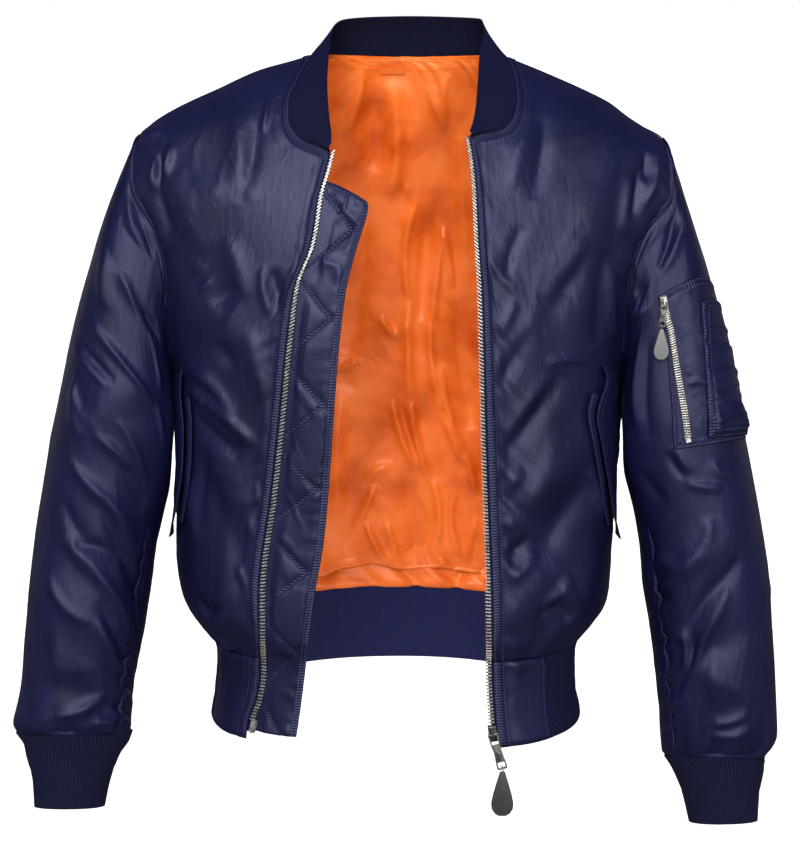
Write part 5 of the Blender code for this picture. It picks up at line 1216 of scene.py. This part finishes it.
# ---- sleeves --------------------------------------------------------------------------------------
# Creases: half width, height over the cloth, then angle and way of its start, middle and end
SLEEVE_CREASES = {
    RIGHT: (
        (9, 2.8, 52, 10, 60, 18, 66, 34), (10, 3, 51, 84, 52, 112, 58, 140), (3, 3, 64, 0, 73, 0, 84, 4),
        (4, -3, 64, 6, 71, 12, 81, 18), (8, -3, 82, 94, 96, 78, 112, 58),
        (6, 2.8, 51, 172, 92, 180, 120, 208), (4, 2.8, 34, 210, 60, 216, 79, 224),
        (4, -2.6, 43, 198, 66, 204, 84, 210), (4, 2.4, 64, 224, 47, 246, 68, 276),
        (7, 3.2, 43, 248, 52, 272, 66, 300), (5, 2.6, 77, 290, 94, 302, 111, 328),
        (6, 3.6, 52, 320, 88, 360, 137, 422), (7, -4, 92, 368, 120, 428, 154, 478),
        (6, 4, 64, 414, 96, 444, 152, 522), (6, -3.4, 81, 422, 99, 424, 120, 440),
        (5, 3, 56, 450, 77, 486, 101, 502), (6, 3.4, 105, 496, 126, 536, 154, 564),
        (7, 3.6, 81, 606, 103, 596, 128, 580), (4, 3, 114, 614, 133, 610, 161, 606),
        (12, 1.8, 69, 490, 75, 542, 86, 598), (5, -2.6, 105, 478, 128, 522, 150, 546),
        (9, 2.4, 66, 80, 81, 90, 94, 82), (6, -2.4, 60, 374, 73, 396, 88, 416),
        (5, 2.2, 92, 260, 109, 290, 129, 342), (3, 2.2, 99, 88, 114, 110, 124, 170),
        (3, 2, 122, 190, 131, 238, 141, 288),
        (12, 4, 250, 90, 283, 172, 300, 260), (12, 4, 230, 300, 264, 357, 310, 400),
        (11, 4, 240, 440, 286, 483, 320, 540), (9, 3.6, 300, 560, 273, 590, 240, 610),
    ),
    LEFT: (
        (4, 2.8, 98, 352, 86, 358, 71, 360), (8, 3.4, 142, 430, 116, 446, 92, 416),
        (6, 2.6, 86, 394, 94, 422), (4, 3, 158, 474, 137, 466, 122, 454),
        (7, -4, 64, 436, 98, 480, 118, 516), (5, 3.6, 79, 468, 107, 530, 133, 582),
        (5, -3.4, 114, 512, 120, 552, 141, 582), (4, 2.8, 124, 520, 122, 538, 126, 558),
        (4, 2.8, 156, 516, 128, 516, 122, 528), (4, -2.4, 154, 524, 133, 526, 128, 534),
        (4, 2.4, 158, 540, 137, 536, 124, 528), (7, 3.6, 105, 626, 88, 628, 68, 618),
        (5, 2.4, 103, 614, 88, 612, 71, 602), (6, 4, 49, 0, 66, 0, 77, 16),
        (5, -3.2, 60, 18, 66, 42, 77, 50), (4, 3, 112, 0, 101, 48, 90, 72), (4, 2.4, 88, 0, 98, 0, 98, 38),
        (6, -2.6, 105, 0, 96, 24, 88, 48), (8, 2.4, 43, 50, 60, 50, 71, 66),
        (9, -2.4, 139, 328, 133, 362, 118, 374), (6, 2.6, 101, 296, 98, 318, 94, 336),
        (5, -2.6, 105, 300, 103, 324, 99, 344), (5, 2.4, 71, 326, 68, 344, 49, 340),
        (10, 2.2, 94, 532, 99, 564, 99, 600), (5, 2.6, 105, 70, 122, 142, 128, 254),
        (6, -2.6, 101, 104, 114, 180, 120, 276), (5, -2.6, 156, 482, 137, 480, 126, 484),
        (6, 2.2, 159, 590, 141, 594, 122, 584),
        (12, 4, 250, 90, 283, 172, 300, 260), (12, 4, 230, 320, 264, 377, 310, 420),
        (11, 4, 240, 470, 286, 513, 320, 570), (9, 3.6, 300, 590, 273, 620, 240, 640),
    ),
}
DEGREE_MM = 1.15       # cloth round a sleeve for each degree
RUCHE_ANGLE = 152.0    # where the gathered inner seam runs


def finish_sleeve(side, name, nodes):
    """One sleeve, crumpled towards the cuff that gathers it."""
    end = CUFF_SEAM[side]
    top, foot = np.linspace(0, 60, 22), np.linspace(end - 60, end, 27)
    ways = np.concatenate([top[:-1], np.linspace(60, end - 60, 120), foot[1:]])
    grid, angle, way = sleeve_grid(side, ways)
    grid = relax(grid, 14, tube=True)
    rough_out = grid - grid.mean(axis=1, keepdims=True)
    normals = grid_normals(grid, rough_out, tube=True)
    signed = (angle + 180) % 360 - 180
    height = 1.35 * creases(SLEEVE_CREASES[side], angle * DEGREE_MM, way, DEGREE_MM)
    wide = [(a * DEGREE_MM, b, c * DEGREE_MM, d, *rest) for a, b, c, d, *rest in SLEEVE_FOLDS[side]]
    height = height + folds(wide, angle * DEGREE_MM, way) * 0.8
    share = np.clip(0.5 + signed / 60, 0, 1)
    front_half = crumple(signed * DEGREE_MM + 400, way, 71 + side, -32)
    back_half = crumple(signed * DEGREE_MM + 400, way, 75 + side, 32)
    inner = np.clip((180 - np.abs(signed)) / 24, 0, 1)
    rough = (front_half * share + back_half * (1 - share)) * inner
    height = height + 0.4 * rough - 1.2
    close = np.clip((np.abs(angle - 180) - 22) / 25, 0, 1)
    near_body = np.where(way < 420, close, 1.0)
    near_body = relax(near_body[..., None], 6, tube=True)[..., 0]
    height = height * np.clip(way / 22, 0, 1) * np.clip((end - way) / 20, 0, 1) * near_body
    height = height + gathers(angle * DEGREE_MM, way, 8, 1.6, 16, 81 + side) * held_at(way)
    height = height + gathers(angle * DEGREE_MM, end - way, 12, 3.8, 28, 83 + side) * held_at(end - way)
    from_seam = np.abs(angle - RUCHE_ANGLE) * DEGREE_MM
    low = np.clip((way - 380) / 80, 0, 1) * np.clip((end - way) / 25, 0, 1)
    slant = way + 0.5 * (RUCHE_ANGLE - angle) * DEGREE_MM
    height = height + gathers(slant, from_seam, 9.5, 6.5, 13, 91 + side) * low
    height = height + seam_dip(from_seam, 3.0, 2.4) * low + seam_dip(way, 1.4) + seam_dip(end - way)
    skin = grid + normals * height[..., None]
    tuck = skin[0] - unit(skin[2] - skin[0]) * 3.0 - normals[0] * 1.4
    skin = np.concatenate([tuck[None], skin])
    seam = from_seam + 60 * (1 - np.clip(3 * low, 0, 1))
    rough_out, way, seam = (np.concatenate([values[:1], values]) for values in (rough_out, way, seam))
    ways = np.concatenate([[-3.0], ways])
    cloth_piece(name, skin, rough_out, SLEEVED, SHELL, ORANGE, seam, way, tube=True, nodes=nodes)
    return skin, grid_normals(skin, rough_out, tube=True), ways


# ---- rib knit -------------------------------------------------------------------------------------
def knit_rows(rows, outward, ribs, relief, tube=False):
    """Ribs raised along a band: four columns to a rib, with their counts for the finish."""
    count = ribs * 4 + (0 if tube else 1)
    bands = []
    for row in rows:
        line = np.concatenate([row, row[:1]]) if tube else row
        bands.append(resample(line, np.linspace(0, 1, ribs * 4 + 1))[:count])
    bands = np.array(bands)
    directions = grid_normals(bands, outward(bands), tube)
    phase = np.arange(count) / 4
    raised = (0.5 - 0.5 * np.cos(phase * math.tau)) ** 0.8 * relief
    skin = bands + directions * raised[None, :, None]
    run = np.tile(phase, (len(rows), 1))
    _, along = lengths(bands)
    return skin, directions, run, along


def finish_cuff(side, name, node):
    """A cuff of rib knit, drawn in at the wrist."""
    ways = np.linspace(CUFF_SEAM[side], CUFF_END[side], 26)
    grid, _, _ = sleeve_grid(side, ways)
    middle = grid.mean(axis=1, keepdims=True)
    skin, directions, run, along = knit_rows(grid, lambda b: b - middle, 78, RIB_RELIEF, tube=True)
    total = along[-1:]
    fold = np.exp(-(((along - total * 0.52) / 2.2) ** 2)) * 0.5 + np.exp(-(((along - 5) / 2.0) ** 2)) * 0.4
    skin = skin - directions * fold[..., None]
    cloth_piece(name, skin, directions, KNIT, RIB_CLOTH, KNIT_PAINTED_LIGHTER, along, run, tube=True,
                nodes=[node])


def finish_collar(line, seam_normals):
    """The rib-knit collar."""
    steps = np.concatenate([[0], np.cumsum(np.linalg.norm(np.diff(line, axis=0), axis=1))])
    way = steps / steps[-1]
    edge = np.stack([read(COLLAR_EDGE, column, way) for column in (1, 2, 3)], axis=-1)
    edge = relax(edge[None].repeat(3, 0), 6)[1]
    along = unit(np.gradient((line + edge) / 2, axis=0))
    out = unit(np.cross(edge - line, along))
    out = out * np.sign(np.sum(out * seam_normals, axis=-1, keepdims=True))
    rows = []
    for height in np.linspace(0, 1, 18):
        bow = 4 * height * (1 - height)
        rows.append(line * (1 - height) + edge * height + out * (3.0 * bow))
    rows = np.array(rows)

    def outward(bands):
        return np.broadcast_to(resample(out, np.linspace(0, 1, bands.shape[1])), bands.shape)

    skin, directions, run, up = knit_rows(rows, outward, 178, RIB_RELIEF)
    cloth_piece("collar_knit", skin, directions, KNIT, RIB_CLOTH, KNIT, up, run, nodes=["collar_rib"])


def finish_hem():
    """The rib-knit hem between its two satin tabs."""
    levels = np.linspace(HEM_SEAM, HEM_END, 15)
    grid = np.array([hem_ring(level) for level in levels])
    normals = np.array([hem_normals(row) for row in grid])
    share_right = round(FRONT_COLUMNS * TAB_SHARE[RIGHT])
    share_left = grid.shape[1] - 1 - round(FRONT_COLUMNS * TAB_SHARE[LEFT])
    band = grid[:, share_right - 1:share_left + 2].copy()
    inward = -normals[:, share_right - 1:share_left + 2]
    band[:, [0, -1]] = band[:, [0, -1]] + 1.3 * inward[:, [0, -1]]
    tucked = band[:1] + np.array([0, 0, 1.5]) + 1.0 * inward[:1]
    band = np.concatenate([tucked, band])
    skin, directions, run, up = knit_rows(band, lambda b: b - np.array([0, -10, 0]) - b * np.array([0, 0, 1]), 300,
                                          RIB_RELIEF)
    rows = sum(np.exp(-(((up - at) / 4.0) ** 2)) for at in (29, 42, 65))
    skin = skin - directions * (0.5 * rows)[..., None]
    cloth_piece("hem_knit", skin, directions, KNIT, RIB_CLOTH, KNIT_PAINTED_LIGHTER, up, run, nodes=["hem_rib"])
    for name, part, node in (("hem_end_right", slice(0, share_right + 1), "hem_tab_right"),
                             ("hem_end_left", slice(share_left, None), "hem_tab_left")):
        rows = grid[:, part]
        out = normals[:, part]
        across, up = lengths(rows)
        near = across if name.endswith("right") else across[:, -1:] - across
        far = across.max() - near
        seam = np.minimum(near, far)
        puff = gathers(up, near, 8, 0.9, 25, 93) + gathers(up, far, 7, 1.8, 14, 95)
        puff = puff + gathers(across, up, 10, 2.0, 22, 97)
        puff = puff + 0.7 * crumple(across, up, 99, 60) * np.clip((near - 12) / 8, 0, 1) * np.clip(far / 6, 0, 1)
        puff = puff + 0.6 * np.exp(-(((near - 7.5) / 4) ** 2))
        cloth_piece(name, rows + out * puff[..., None], out, PANEL, SHELL, PLAIN, seam, up, nodes=[node])
    return grid, normals


# ---- zip ------------------------------------------------------------------------------------------
TOOTH_PITCH = 3.4
TOOTH = (5.8, 1.4, 2.4)    # across, along and through the cloth
TOOTH_EDGE = 0.35


def zip_frames(strip, first, last, pitch, away, lift):
    """Places and directions of evenly spaced teeth beside an opening edge."""
    z = np.linspace(first, last, 400)
    line = zip_point(strip, z, away, lift)
    way = np.concatenate([[0], np.cumsum(np.linalg.norm(np.diff(line, axis=0), axis=1))])
    spots = np.arange(0, way[-1], pitch)
    z = np.interp(spots, way, z)
    here = zip_point(strip, z, away, lift)
    inner = zip_point(strip, z, away - 3, lift)
    under = zip_point(strip, z, away, lift - 2)
    across = unit(here - inner)
    out = unit(here - under)
    along = unit(np.cross(out, across))
    return here, across, along, out


def make_teeth(name, places, finish, size, nodes):
    """A row of cast zip teeth, each a small block with its edges taken off."""
    shape = bmesh.new()
    here, across, along, out = places
    for at in range(len(here)):
        turn = np.stack([across[at] * size[0], along[at] * size[1], out[at] * size[2]], axis=1) * MM
        frame_matrix = Matrix([[*turn[row], here[at][row] * MM] for row in range(3)] + [[0, 0, 0, 1]])
        bmesh.ops.create_cube(shape, size=1.0, matrix=frame_matrix)
    bmesh.ops.bevel(shape, geom=shape.edges[:], offset=TOOTH_EDGE * MM, affect="EDGES", segments=1, profile=0.5,
                    material=-1)
    bmesh.ops.recalc_face_normals(shape, faces=shape.faces)
    mesh = bpy.data.meshes.new(name)
    shape.to_mesh(mesh)
    shape.free()
    place(name, mesh, [finish], "jacket", nodes)
    mesh.shade_flat()


def tape_points(strip, first, last, aways, lift, count=150):
    """A strip of woven tape beside an opening edge."""
    z, away = np.meshgrid(np.linspace(first, last, count), np.linspace(*aways, 8), indexing="ij")
    return zip_point(strip, z, away, lift), zip_point(strip, z, away, lift + 3) - zip_point(strip, z, away, lift)


def refined(name, node, width, finish, body, nodes):
    """A hard piece of the frame with its edges rounded."""
    shape = bmesh.new()
    shape.from_mesh(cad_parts[node].data)
    bmesh.ops.remove_doubles(shape, verts=shape.verts, dist=1e-5)
    bmesh.ops.dissolve_limit(shape, angle_limit=math.radians(1), verts=shape.verts, edges=shape.edges)
    sharp = [edge for edge in shape.edges if len(edge.link_faces) == 2 and edge.calc_face_angle() > math.radians(25)]
    bmesh.ops.bevel(shape, geom=sharp, offset=width * MM, affect="EDGES", segments=3, profile=0.5, material=-1,
                    clamp_overlap=True)
    mesh = bpy.data.meshes.new(name)
    shape.to_mesh(mesh)
    shape.free()
    place(name, mesh, [finish], body, nodes)
    mesh.set_sharp_from_angle(angle=math.radians(38))


# ---- build ----------------------------------------------------------------------------------------
finish_front(RIGHT, "front_right_shell", ["front_right"])
finish_front(LEFT, "front_left_shell", ["front_left"])
finish_back()
sleeves = {RIGHT: finish_sleeve(RIGHT, "sleeve_right_shell", ["sleeve_right"]),
           LEFT: finish_sleeve(LEFT, "sleeve_left_shell", ["sleeve_left"])}
finish_cuff(RIGHT, "cuff_right_knit", "cuff_right")
finish_cuff(LEFT, "cuff_left_knit", "cuff_left")
plain_fronts = {}
for side in (RIGHT, LEFT):
    plain = front_grid(side)
    plain_fronts[side] = plain, front_normals(side, plain)
plain_back = back_grid()
finish_collar(*collar_base(plain_fronts, plain_back, back_normals(plain_back)))
hem = finish_hem()

for side, word in ((RIGHT, "right"), (LEFT, "left")):
    strip = zip_strip(side, plain_fronts[side], hem)
    top = strip[0][-1, 1, 2] - 1.0
    points, outward = tape_points(strip, ZIP_BOTTOM, top, TAPE_ACROSS, TAPE_LIFT[1] - 0.4)
    cloth_piece(f"zip_tape_{word}_weave", points, outward, PLAIN, 0.7, nodes=[f"zip_tape_{word}"])
    low = ZIP_BOTTOM + PIN_LENGTH + 1 if side == RIGHT else SLIDER_Z + 10.6
    middle = sum(CHAIN_ACROSS) / 2
    places = zip_frames(strip, low, top - 1, TOOTH_PITCH, middle, sum(CHAIN_LIFT) / 2)
    make_teeth(f"zip_teeth_{word}", places, SILVER, TOOTH, [f"zip_chain_{word}"])


def pocket_piece(side, word):
    """Flap of a side pocket and the welt before its slit, on the front's plain surface."""
    table = POCKET_EDGE[side]
    z = np.linspace(table[0][0], table[-1][0], 70)
    edge = side * read(table, 1, z)
    cloth = plain_fronts[side]
    row, column = find_spot(cloth[0], edge, z)
    cell = np.linalg.norm(between(cloth[0], row, column) - between(cloth[0], row, column - 1), axis=-1)
    share = np.linspace(0, 1, 24)
    columns = column[:, None] - POCKET_FLAP_WIDTH / cell[:, None] * share
    front_lift = read(table, 2, z)
    lift = 0.5 + (front_lift[:, None] - 0.5) * (1 - share) ** 1.6
    rows = row[:, None] + 0 * columns
    away = share[None, :] * POCKET_FLAP_WIDTH + 0 * columns
    along = np.abs(z - z[0])[:, None] + 0 * columns
    puff = 0.8 * soft_noise(along, away, 16, 101 + side, 1.5) * np.clip(away / 4, 0, 1)
    over = on_cloth(cloth, rows, columns, lift + POCKET_CLOTH + 0.6 + puff)
    cloth_piece(f"pocket_flap_{word}_sewn", over, over - on_cloth(cloth, rows, columns, lift - 5), PATCH,
                POCKET_CLOTH, None, away, along, nodes=[f"pocket_flap_{word}"])
    across = column[6:-12, None] + np.linspace(3.5, 12.5, 10) / cell[6:-12, None]
    rows = row[6:-12, None] + 0 * across
    at = np.linspace(0, 9, 10)[None, :] + 0 * across
    near = np.minimum(at, 9 - at)
    run = np.abs(z[6:-12] - z[6])[:, None] + 0 * across
    dome = 0.6 * np.sin(at / 9 * math.pi) + 0.4 * soft_noise(run, at, 11, 111 + side)
    over = on_cloth(cloth, rows, across, WELT_LIFT[side] + WELT_CLOTH + 0.7 + dome)
    cloth_piece(f"pocket_welt_{word}_sewn", over, over - on_cloth(cloth, rows, across, -5 + 0 * across), PATCH,
                WELT_CLOTH, None, near, run, nodes=[f"pocket_welt_{word}"])


def find_spot(skin, x, z):
    """Fractional row and column of the places on a front with the given x and z."""
    row = np.full(np.shape(x), skin.shape[0] / 2.0)
    column = np.full(np.shape(x), skin.shape[1] / 2.0)
    for _ in range(160):
        here = between(skin, row, column)
        beside = between(skin, row, column + 0.5)
        above = between(skin, row + 0.5, column)
        column = column + np.clip((x - here[..., 0]) / (beside[..., 0] - here[..., 0]) * 0.5, -1, 1)
        row = row + np.clip((z - here[..., 2]) / (above[..., 2] - here[..., 2]) * 0.5, -1, 1)
    return row, column


for side, word in ((RIGHT, "right"), (LEFT, "left")):
    pocket_piece(side, word)


def sleeve_spot(angle, way, lift):
    """Points over the creased left sleeve at angles and ways, with the directions out of it."""
    skin, normals, ways = sleeves[LEFT]
    row = np.interp(way, ways, np.arange(len(ways)))
    column = angle * skin.shape[1] / 360
    out = between(normals, row, column)
    return between(skin, row, column) + out * np.asarray(lift)[..., None], out


def sleeve_patch(name, patch, lift, thick, count, seed, node, strength=0.8, rim=3.0):
    """A piece sewn on the left sleeve, crumpled inside its stitched edges and flat along the zip."""
    top, foot, front = patch
    share = np.linspace(0, 1, count[0])[:, None]
    across = np.linspace(0, 1, count[1])[None, :]
    way = read(top, 1, top[1][0] + 0 * share) * (1 - share) + read(foot, 1, foot[1][0] + 0 * share) * share
    edge = read(front, 1, way)
    angle = top[0][0] + (edge - top[0][0]) * across
    way = read(top, 1, angle) * (1 - share) + read(foot, 1, angle) * share
    base, out = sleeve_spot(angle, way, 0 * angle)
    across, along = lengths(base)
    side_way = np.minimum(across, across[:, -1:] - across)
    up_way = np.minimum(along, along[-1:] - along)
    near = np.minimum(side_way, up_way)
    run = np.where(side_way < up_way, along, across)
    puff = strength * crumple(across, along, seed, 70) * np.clip(near / 10, 0, 1)
    puff = puff + gathers(run, near, 6, 1.6, 14, seed + 5) + np.clip(near / rim, 0, 1)
    puff = puff * np.clip((np.abs(angle - read(POCKET_CHAIN, 1, way)) * DEGREE_MM - 5) / 7, 0, 1)
    over = base + out * (lift + thick + puff)[..., None]
    cloth_piece(name, over, out, PATCH, thick, None, near, run, nodes=[node])


sleeve_patch("sleeve_pocket_sewn", SLEEVE_POCKET, PATCH_LIFTS[0], PATCH_CLOTH, (130, 70), 131, "sleeve_pocket")
sleeve_patch("pen_pocket_sewn", PEN_POCKET, PATCH_LIFTS[1], PATCH_CLOTH, (120, 48), 141, "pen_pocket", 1.7)


def finish_pocket_zip():
    """The closed zip of the sleeve pocket: teeth from both sides in turn, and the stop at its foot."""
    steps = np.arange(0, POCKET_CHAIN[-1][0] - POCKET_CHAIN[0][0] - 4, 1.75)
    way = POCKET_CHAIN[0][0] + steps
    side = np.where(np.arange(len(way)) % 2, 1.0, -1.0)
    angle = read(POCKET_CHAIN, 1, way) + side * 1.1 / DEGREE_MM
    here, out = sleeve_spot(angle, way, PATCH_LIFTS[0] + PATCH_CLOTH + 1.0 + 0 * way)
    ahead, _ = sleeve_spot(angle, way + 2, PATCH_LIFTS[0] + PATCH_CLOTH + 1.0 + 0 * way)
    across = unit(np.cross(ahead - here, out))
    along = unit(np.cross(out, across))
    make_teeth("pocket_zip_teeth", (here, across, along, out), SILVER, (4.0, 1.35, 2.0), ["pocket_chain"])
    angle = read(POCKET_CHAIN, 1, np.array([POCKET_CHAIN[-1][0] - 1.0]))
    way = np.array([POCKET_CHAIN[-1][0] - 1.0])
    here, out = sleeve_spot(angle, way, PATCH_LIFTS[0] + PATCH_CLOTH + 1.0 + 0 * way)
    make_teeth("pocket_zip_stop", (here, across[-1:], along[-1:], out), SILVER, (5.0, 4.4, 2.4), [])


finish_pocket_zip()


def finish_wind_flap():
    """Quilted flap behind the zip, with a slanting top and a rounded corner."""
    heights = np.linspace(FLAP_EDGE[0][0], FLAP_TOP, 230)
    share = np.linspace(0, 1, 46)[None, :]
    height = heights[:, None] - FLAP_SLANT * share**1.5 * np.clip((heights[:, None] + 170) / 60, 0, 1)
    teeth = read(ZIP_LINE, 1, height)
    free = read(FLAP_EDGE, 1, height)
    corner = np.clip((heights[:, None] - FLAP_TOP + 9) / 9, 0, 1)
    free = free + 6 * (1 - np.sqrt(1 - np.clip(corner, 0, 0.999) ** 2))
    x = -((teeth + 7) * (1 - share) + free * share)
    points = body_point(FRONT, x, height)
    normals = body_normal(FRONT, points)
    across, along = lengths(points)
    from_edge = np.minimum(across[:, -1:] - across, along[-1:] - along)
    run = np.where(across[:, -1:] - across < along[-1:] - along, along, across)
    zigzag = 2 * np.abs((height - 36) / 84 % 1 - 0.5)
    quilt = np.abs(share * 1.25 - zigzag) * 26
    puff = 2.2 * (1 - np.exp(-quilt / 3.5)) + 1.6 * crumple(across, along, 151, 40)
    puff = puff * np.clip((from_edge - 4) / 7, 0, 1) * np.clip((teeth + x - 6) / 8, 0, 1)
    puff = puff + 0.8 * np.clip(from_edge / 3, 0, 1) + gathers(run, np.abs(from_edge - 5.5), 6, 1.0, 10, 155)
    puff = np.minimum(puff, FLAP_DEPTH - 1.2)
    outer = points - normals * (FLAP_DEPTH - puff)[..., None]
    seam = np.where((quilt < 2.5) & (from_edge > 9), 1.5 + quilt, from_edge)
    cloth_piece("wind_flap_quilted", outer, normals, QUILTED, FLAP_CLOTH, None, seam, run,
                nodes=["wind_flap"])


finish_wind_flap()


# Creases of the lining, as those of the fronts
LINING_CREASES = (
    (9, 3.4, -10, 10, -4, -51, -10, -117), (12, -3.0, -30, -13, -26, -59, -26, -90),
    (6, 2.6, -40, 22, -48, -13, -60, -56), (5, 2.4, 32, 3, 40, -24, 50, -47), (4, 2.6, 52, 14, 47, -13, 52, -38),
    (4, 3.0, 22, -117, 9, -148, 5, -196), (3, 2.6, 5, -188, 6, -207, 10, -227),
    (7, -3.4, 30, -137, 26, -192, 23, -251), (4, 3.2, 47, -148, 41, -196, 34, -251),
    (3.5, 3.0, 48, -152, 53, -184, 56, -215), (4.5, 3.6, 33, -243, 34, -291, 45, -351),
    (3.5, 3.2, 45, -351, 58, -379, 70, -408), (3.5, 3.0, 44, -299, 54, -351, 71, -392),
    (4, 3.0, 70, -392, 78, -412, 83, -441), (2.6, 2.4, -22, -247, -13, -260, -4, -270),
    (2.6, 2.2, -4, -269, 2, -263, 8, -251), (5, 3.4, 9, -227, 9, -287, 12, -339),
    (4.5, 3.4, 12, -339, 18, -384, 33, -424), (3.5, 2.8, -8, -339, 2, -379, 18, -416),
    (3.5, -2.6, -1, -339, 9, -375, 23, -408), (3, 2.2, -70, -304, -57, -301, -44, -293),
    (4, 2.6, -8, -410, -27, -416, -35, -427), (3.5, 3.0, -27, -432, -39, -457, -52, -482),
    (3.5, 2.8, -39, -469, -28, -498, -14, -527), (3, 2.4, -15, -473, -8, -494, -3, -515),
    (4, 3.0, 33, -424, 44, -465, 34, -510), (3, 2.8, 62, -436, 57, -477, 75, -521),
    (3, 2.4, 86, -469, 78, -490, 75, -519), (8, -3.0, 6, -428, 18, -469, 17, -510),
    (10, 2.6, -62, -323, -70, -400, -69, -477), (14, -3.4, -38, -129, -49, -204, -63, -291),
    (10, 2.8, 64, -51, 69, -141, 71, -227), (9, -2.8, 61, -227, 70, -307, 80, -371),
)


def finish_lining():
    """The lining of the back, gathered under the collar and hanging in long slanting folds."""
    skin = relax(plain_back[6:-1], 12)
    inward = unit(relax(grid_normals(skin, back_normals(plain_back)[6:-1]), 12))
    across, along = lengths(skin)
    from_top = along[-1:] - along
    sides = np.minimum(across, across[:, -1:] - across)
    x, z = skin[..., 0], skin[..., 2]
    height = 0.2 * folds(LINING_FOLDS, x, z) + 2.4 * creases(LINING_CREASES, x, z)
    height = height + 2.6 * soft_noise(x, z, 46, 171, 6.0, 8) + 1.0 * soft_noise(x, z, 20, 173, 6.0, -10)
    height = height + 0.25 * crumple(across, along, 175, 78)
    fade = np.clip(along / 12, 0, 1) * np.clip(from_top / 10, 0, 1) * np.clip(sides / 12, 0, 1)
    height = height * fade + gathers(across, from_top, 7, 2.2, 26, 181) + gathers(across, along, 13, 4.2, 26, 183)
    lift = np.clip(height + 2.5, -1.0, 16) * (1 - np.exp(-(((x + 8) / 24) ** 2) - ((z - 14) / 13) ** 2))
    face = skin - inward * (SHELL + LINING_GAP + lift)[..., None]
    wave = 6 * soft_noise(x, 0 * x, 30, 187) * np.clip(1 - along / 40, 0, 1)
    face[..., 2] = face[..., 2] + wave
    seam = np.minimum(from_top, along)
    cloth_piece("lining_back_sewn", face[:, ::-1], -inward[:, ::-1], LINED, LINING_CLOTH, None,
                seam[:, ::-1], across[:, ::-1], nodes=["lining_back"])


finish_lining()

# ---- hard pieces ----------------------------------------------------------------------------------
for word, cast, drop_finish, slot in (("main", BLACKENED, BLACK_RUBBER, "black_rubber_pull"),
                                      ("pocket", SILVER, GREY_RUBBER, "grey_rubber_pull")):
    refined(f"{word}_slider_cast", f"{word}_slider", 0.5, cast, "jacket", [f"{word}_slider"])
    refined(f"{word}_crown_cast", f"{word}_crown", 0.3, cast, "jacket", [f"{word}_crown"])
    refined(f"{word}_tab_cast", f"{word}_tab", 0.45, GUNMETAL, f"{word}_tab", [f"{word}_tab"])
    refined(f"{word}_drop_moulded", f"{word}_drop", 0.8, drop_finish, f"{word}_drop", [f"{word}_drop"])
for node, finish in (("main_loop", SILVER), ("pocket_loop", SILVER), ("zip_pin", SILVER), ("hanger_loop", ORANGE)):
    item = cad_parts[node]
    item.data.materials.clear()
    item.data.materials.append(finish)

# ---- camera, floor and light ----------------------------------------------------------------------
SENSOR = 36            # millimetres, over the longer side of the view
FOCAL_PIXELS = 2233
VIEW_PIXELS = 842
FLOOR_LEVEL = -1.45    # metres
FLOOR_AHEAD = 1.0
FLOOR_REACH = 150
# Sky's brightness by level, from straight down (0) to straight up (1): a bright band at the horizon
HORIZON = ((0.465, 0.06), (0.488, 1.0), (0.512, 1.0), (0.535, 0.06))

lens = bpy.data.cameras.new("camera")
lens.lens = SENSOR * FOCAL_PIXELS / VIEW_PIXELS
lens.sensor_width = SENSOR
lens.sensor_fit = "AUTO"
lens.clip_end = 400
camera = bpy.data.objects.new("camera", lens)
camera.location = (0, -2.257, 0.0578)
camera.rotation_euler = (math.radians(80), 0, 0)
bpy.context.scene.collection.objects.link(camera)
bpy.context.scene.camera = camera

floor_finish, _, floor_shader = new_finish("pale_floor", Roughness=0.9)
floor_shader.inputs["Base Color"].default_value = (0.92, 0.92, 0.92, 1)
shape = bmesh.new()
bmesh.ops.create_grid(shape, x_segments=1, y_segments=1, size=1.0,
                      matrix=Matrix.Translation((0, FLOOR_AHEAD, FLOOR_LEVEL))
                      @ Matrix.Diagonal((FLOOR_REACH, FLOOR_REACH, 1, 1)))
mesh = bpy.data.meshes.new("floor")
shape.to_mesh(mesh)
shape.free()
floor = bpy.data.objects.new("floor", mesh)
mesh.materials.append(floor_finish)
bpy.context.scene.collection.objects.link(floor)
floor.visible_glossy = False

world = bpy.data.worlds.new("studio")
world.use_nodes = True
sky = world.node_tree
way = add_node(sky, "ShaderNodeTexCoord").outputs["Generated"]
height = add_node(sky, "ShaderNodeSeparateXYZ", Vector=way).outputs["Z"]
level = add_node(sky, MATH, {"operation": "MULTIPLY_ADD"}, in0=height, in1=0.5, in2=0.5)
glow = add_node(sky, "ShaderNodeValToRGB", stops=HORIZON, in0=level)
sky.links.new(glow.outputs[0], sky.nodes["Background"].inputs[0])
sky.nodes["Background"].inputs[1].default_value = 1.0
bpy.context.scene.world = world


def studio_sun(name, ahead, strength, spread, gleams=True):
    """A soft studio light from far away, given by the way that it shines and how wide it looks."""
    light = bpy.data.lights.new(name, "SUN")
    light.energy = strength
    light.angle = math.radians(spread)
    item = bpy.data.objects.new(name, light)
    item.rotation_euler = Vector(ahead).to_track_quat("-Z", "Y").to_euler()
    item.visible_glossy = gleams
    bpy.context.scene.collection.objects.link(item)


studio_sun("key", (0.22, 1.0, -0.62), 2.7, 26)
studio_sun("front", (-0.32, 1.0, -0.26), 1.35, 28)
studio_sun("overhead", (0.0, 0.35, -1.0), 2.9, 40, False)
studio_sun("behind", (0.25, -1.0, -0.5), 1.5, 40, False)
bpy.context.scene.view_settings.view_transform = "Standard"
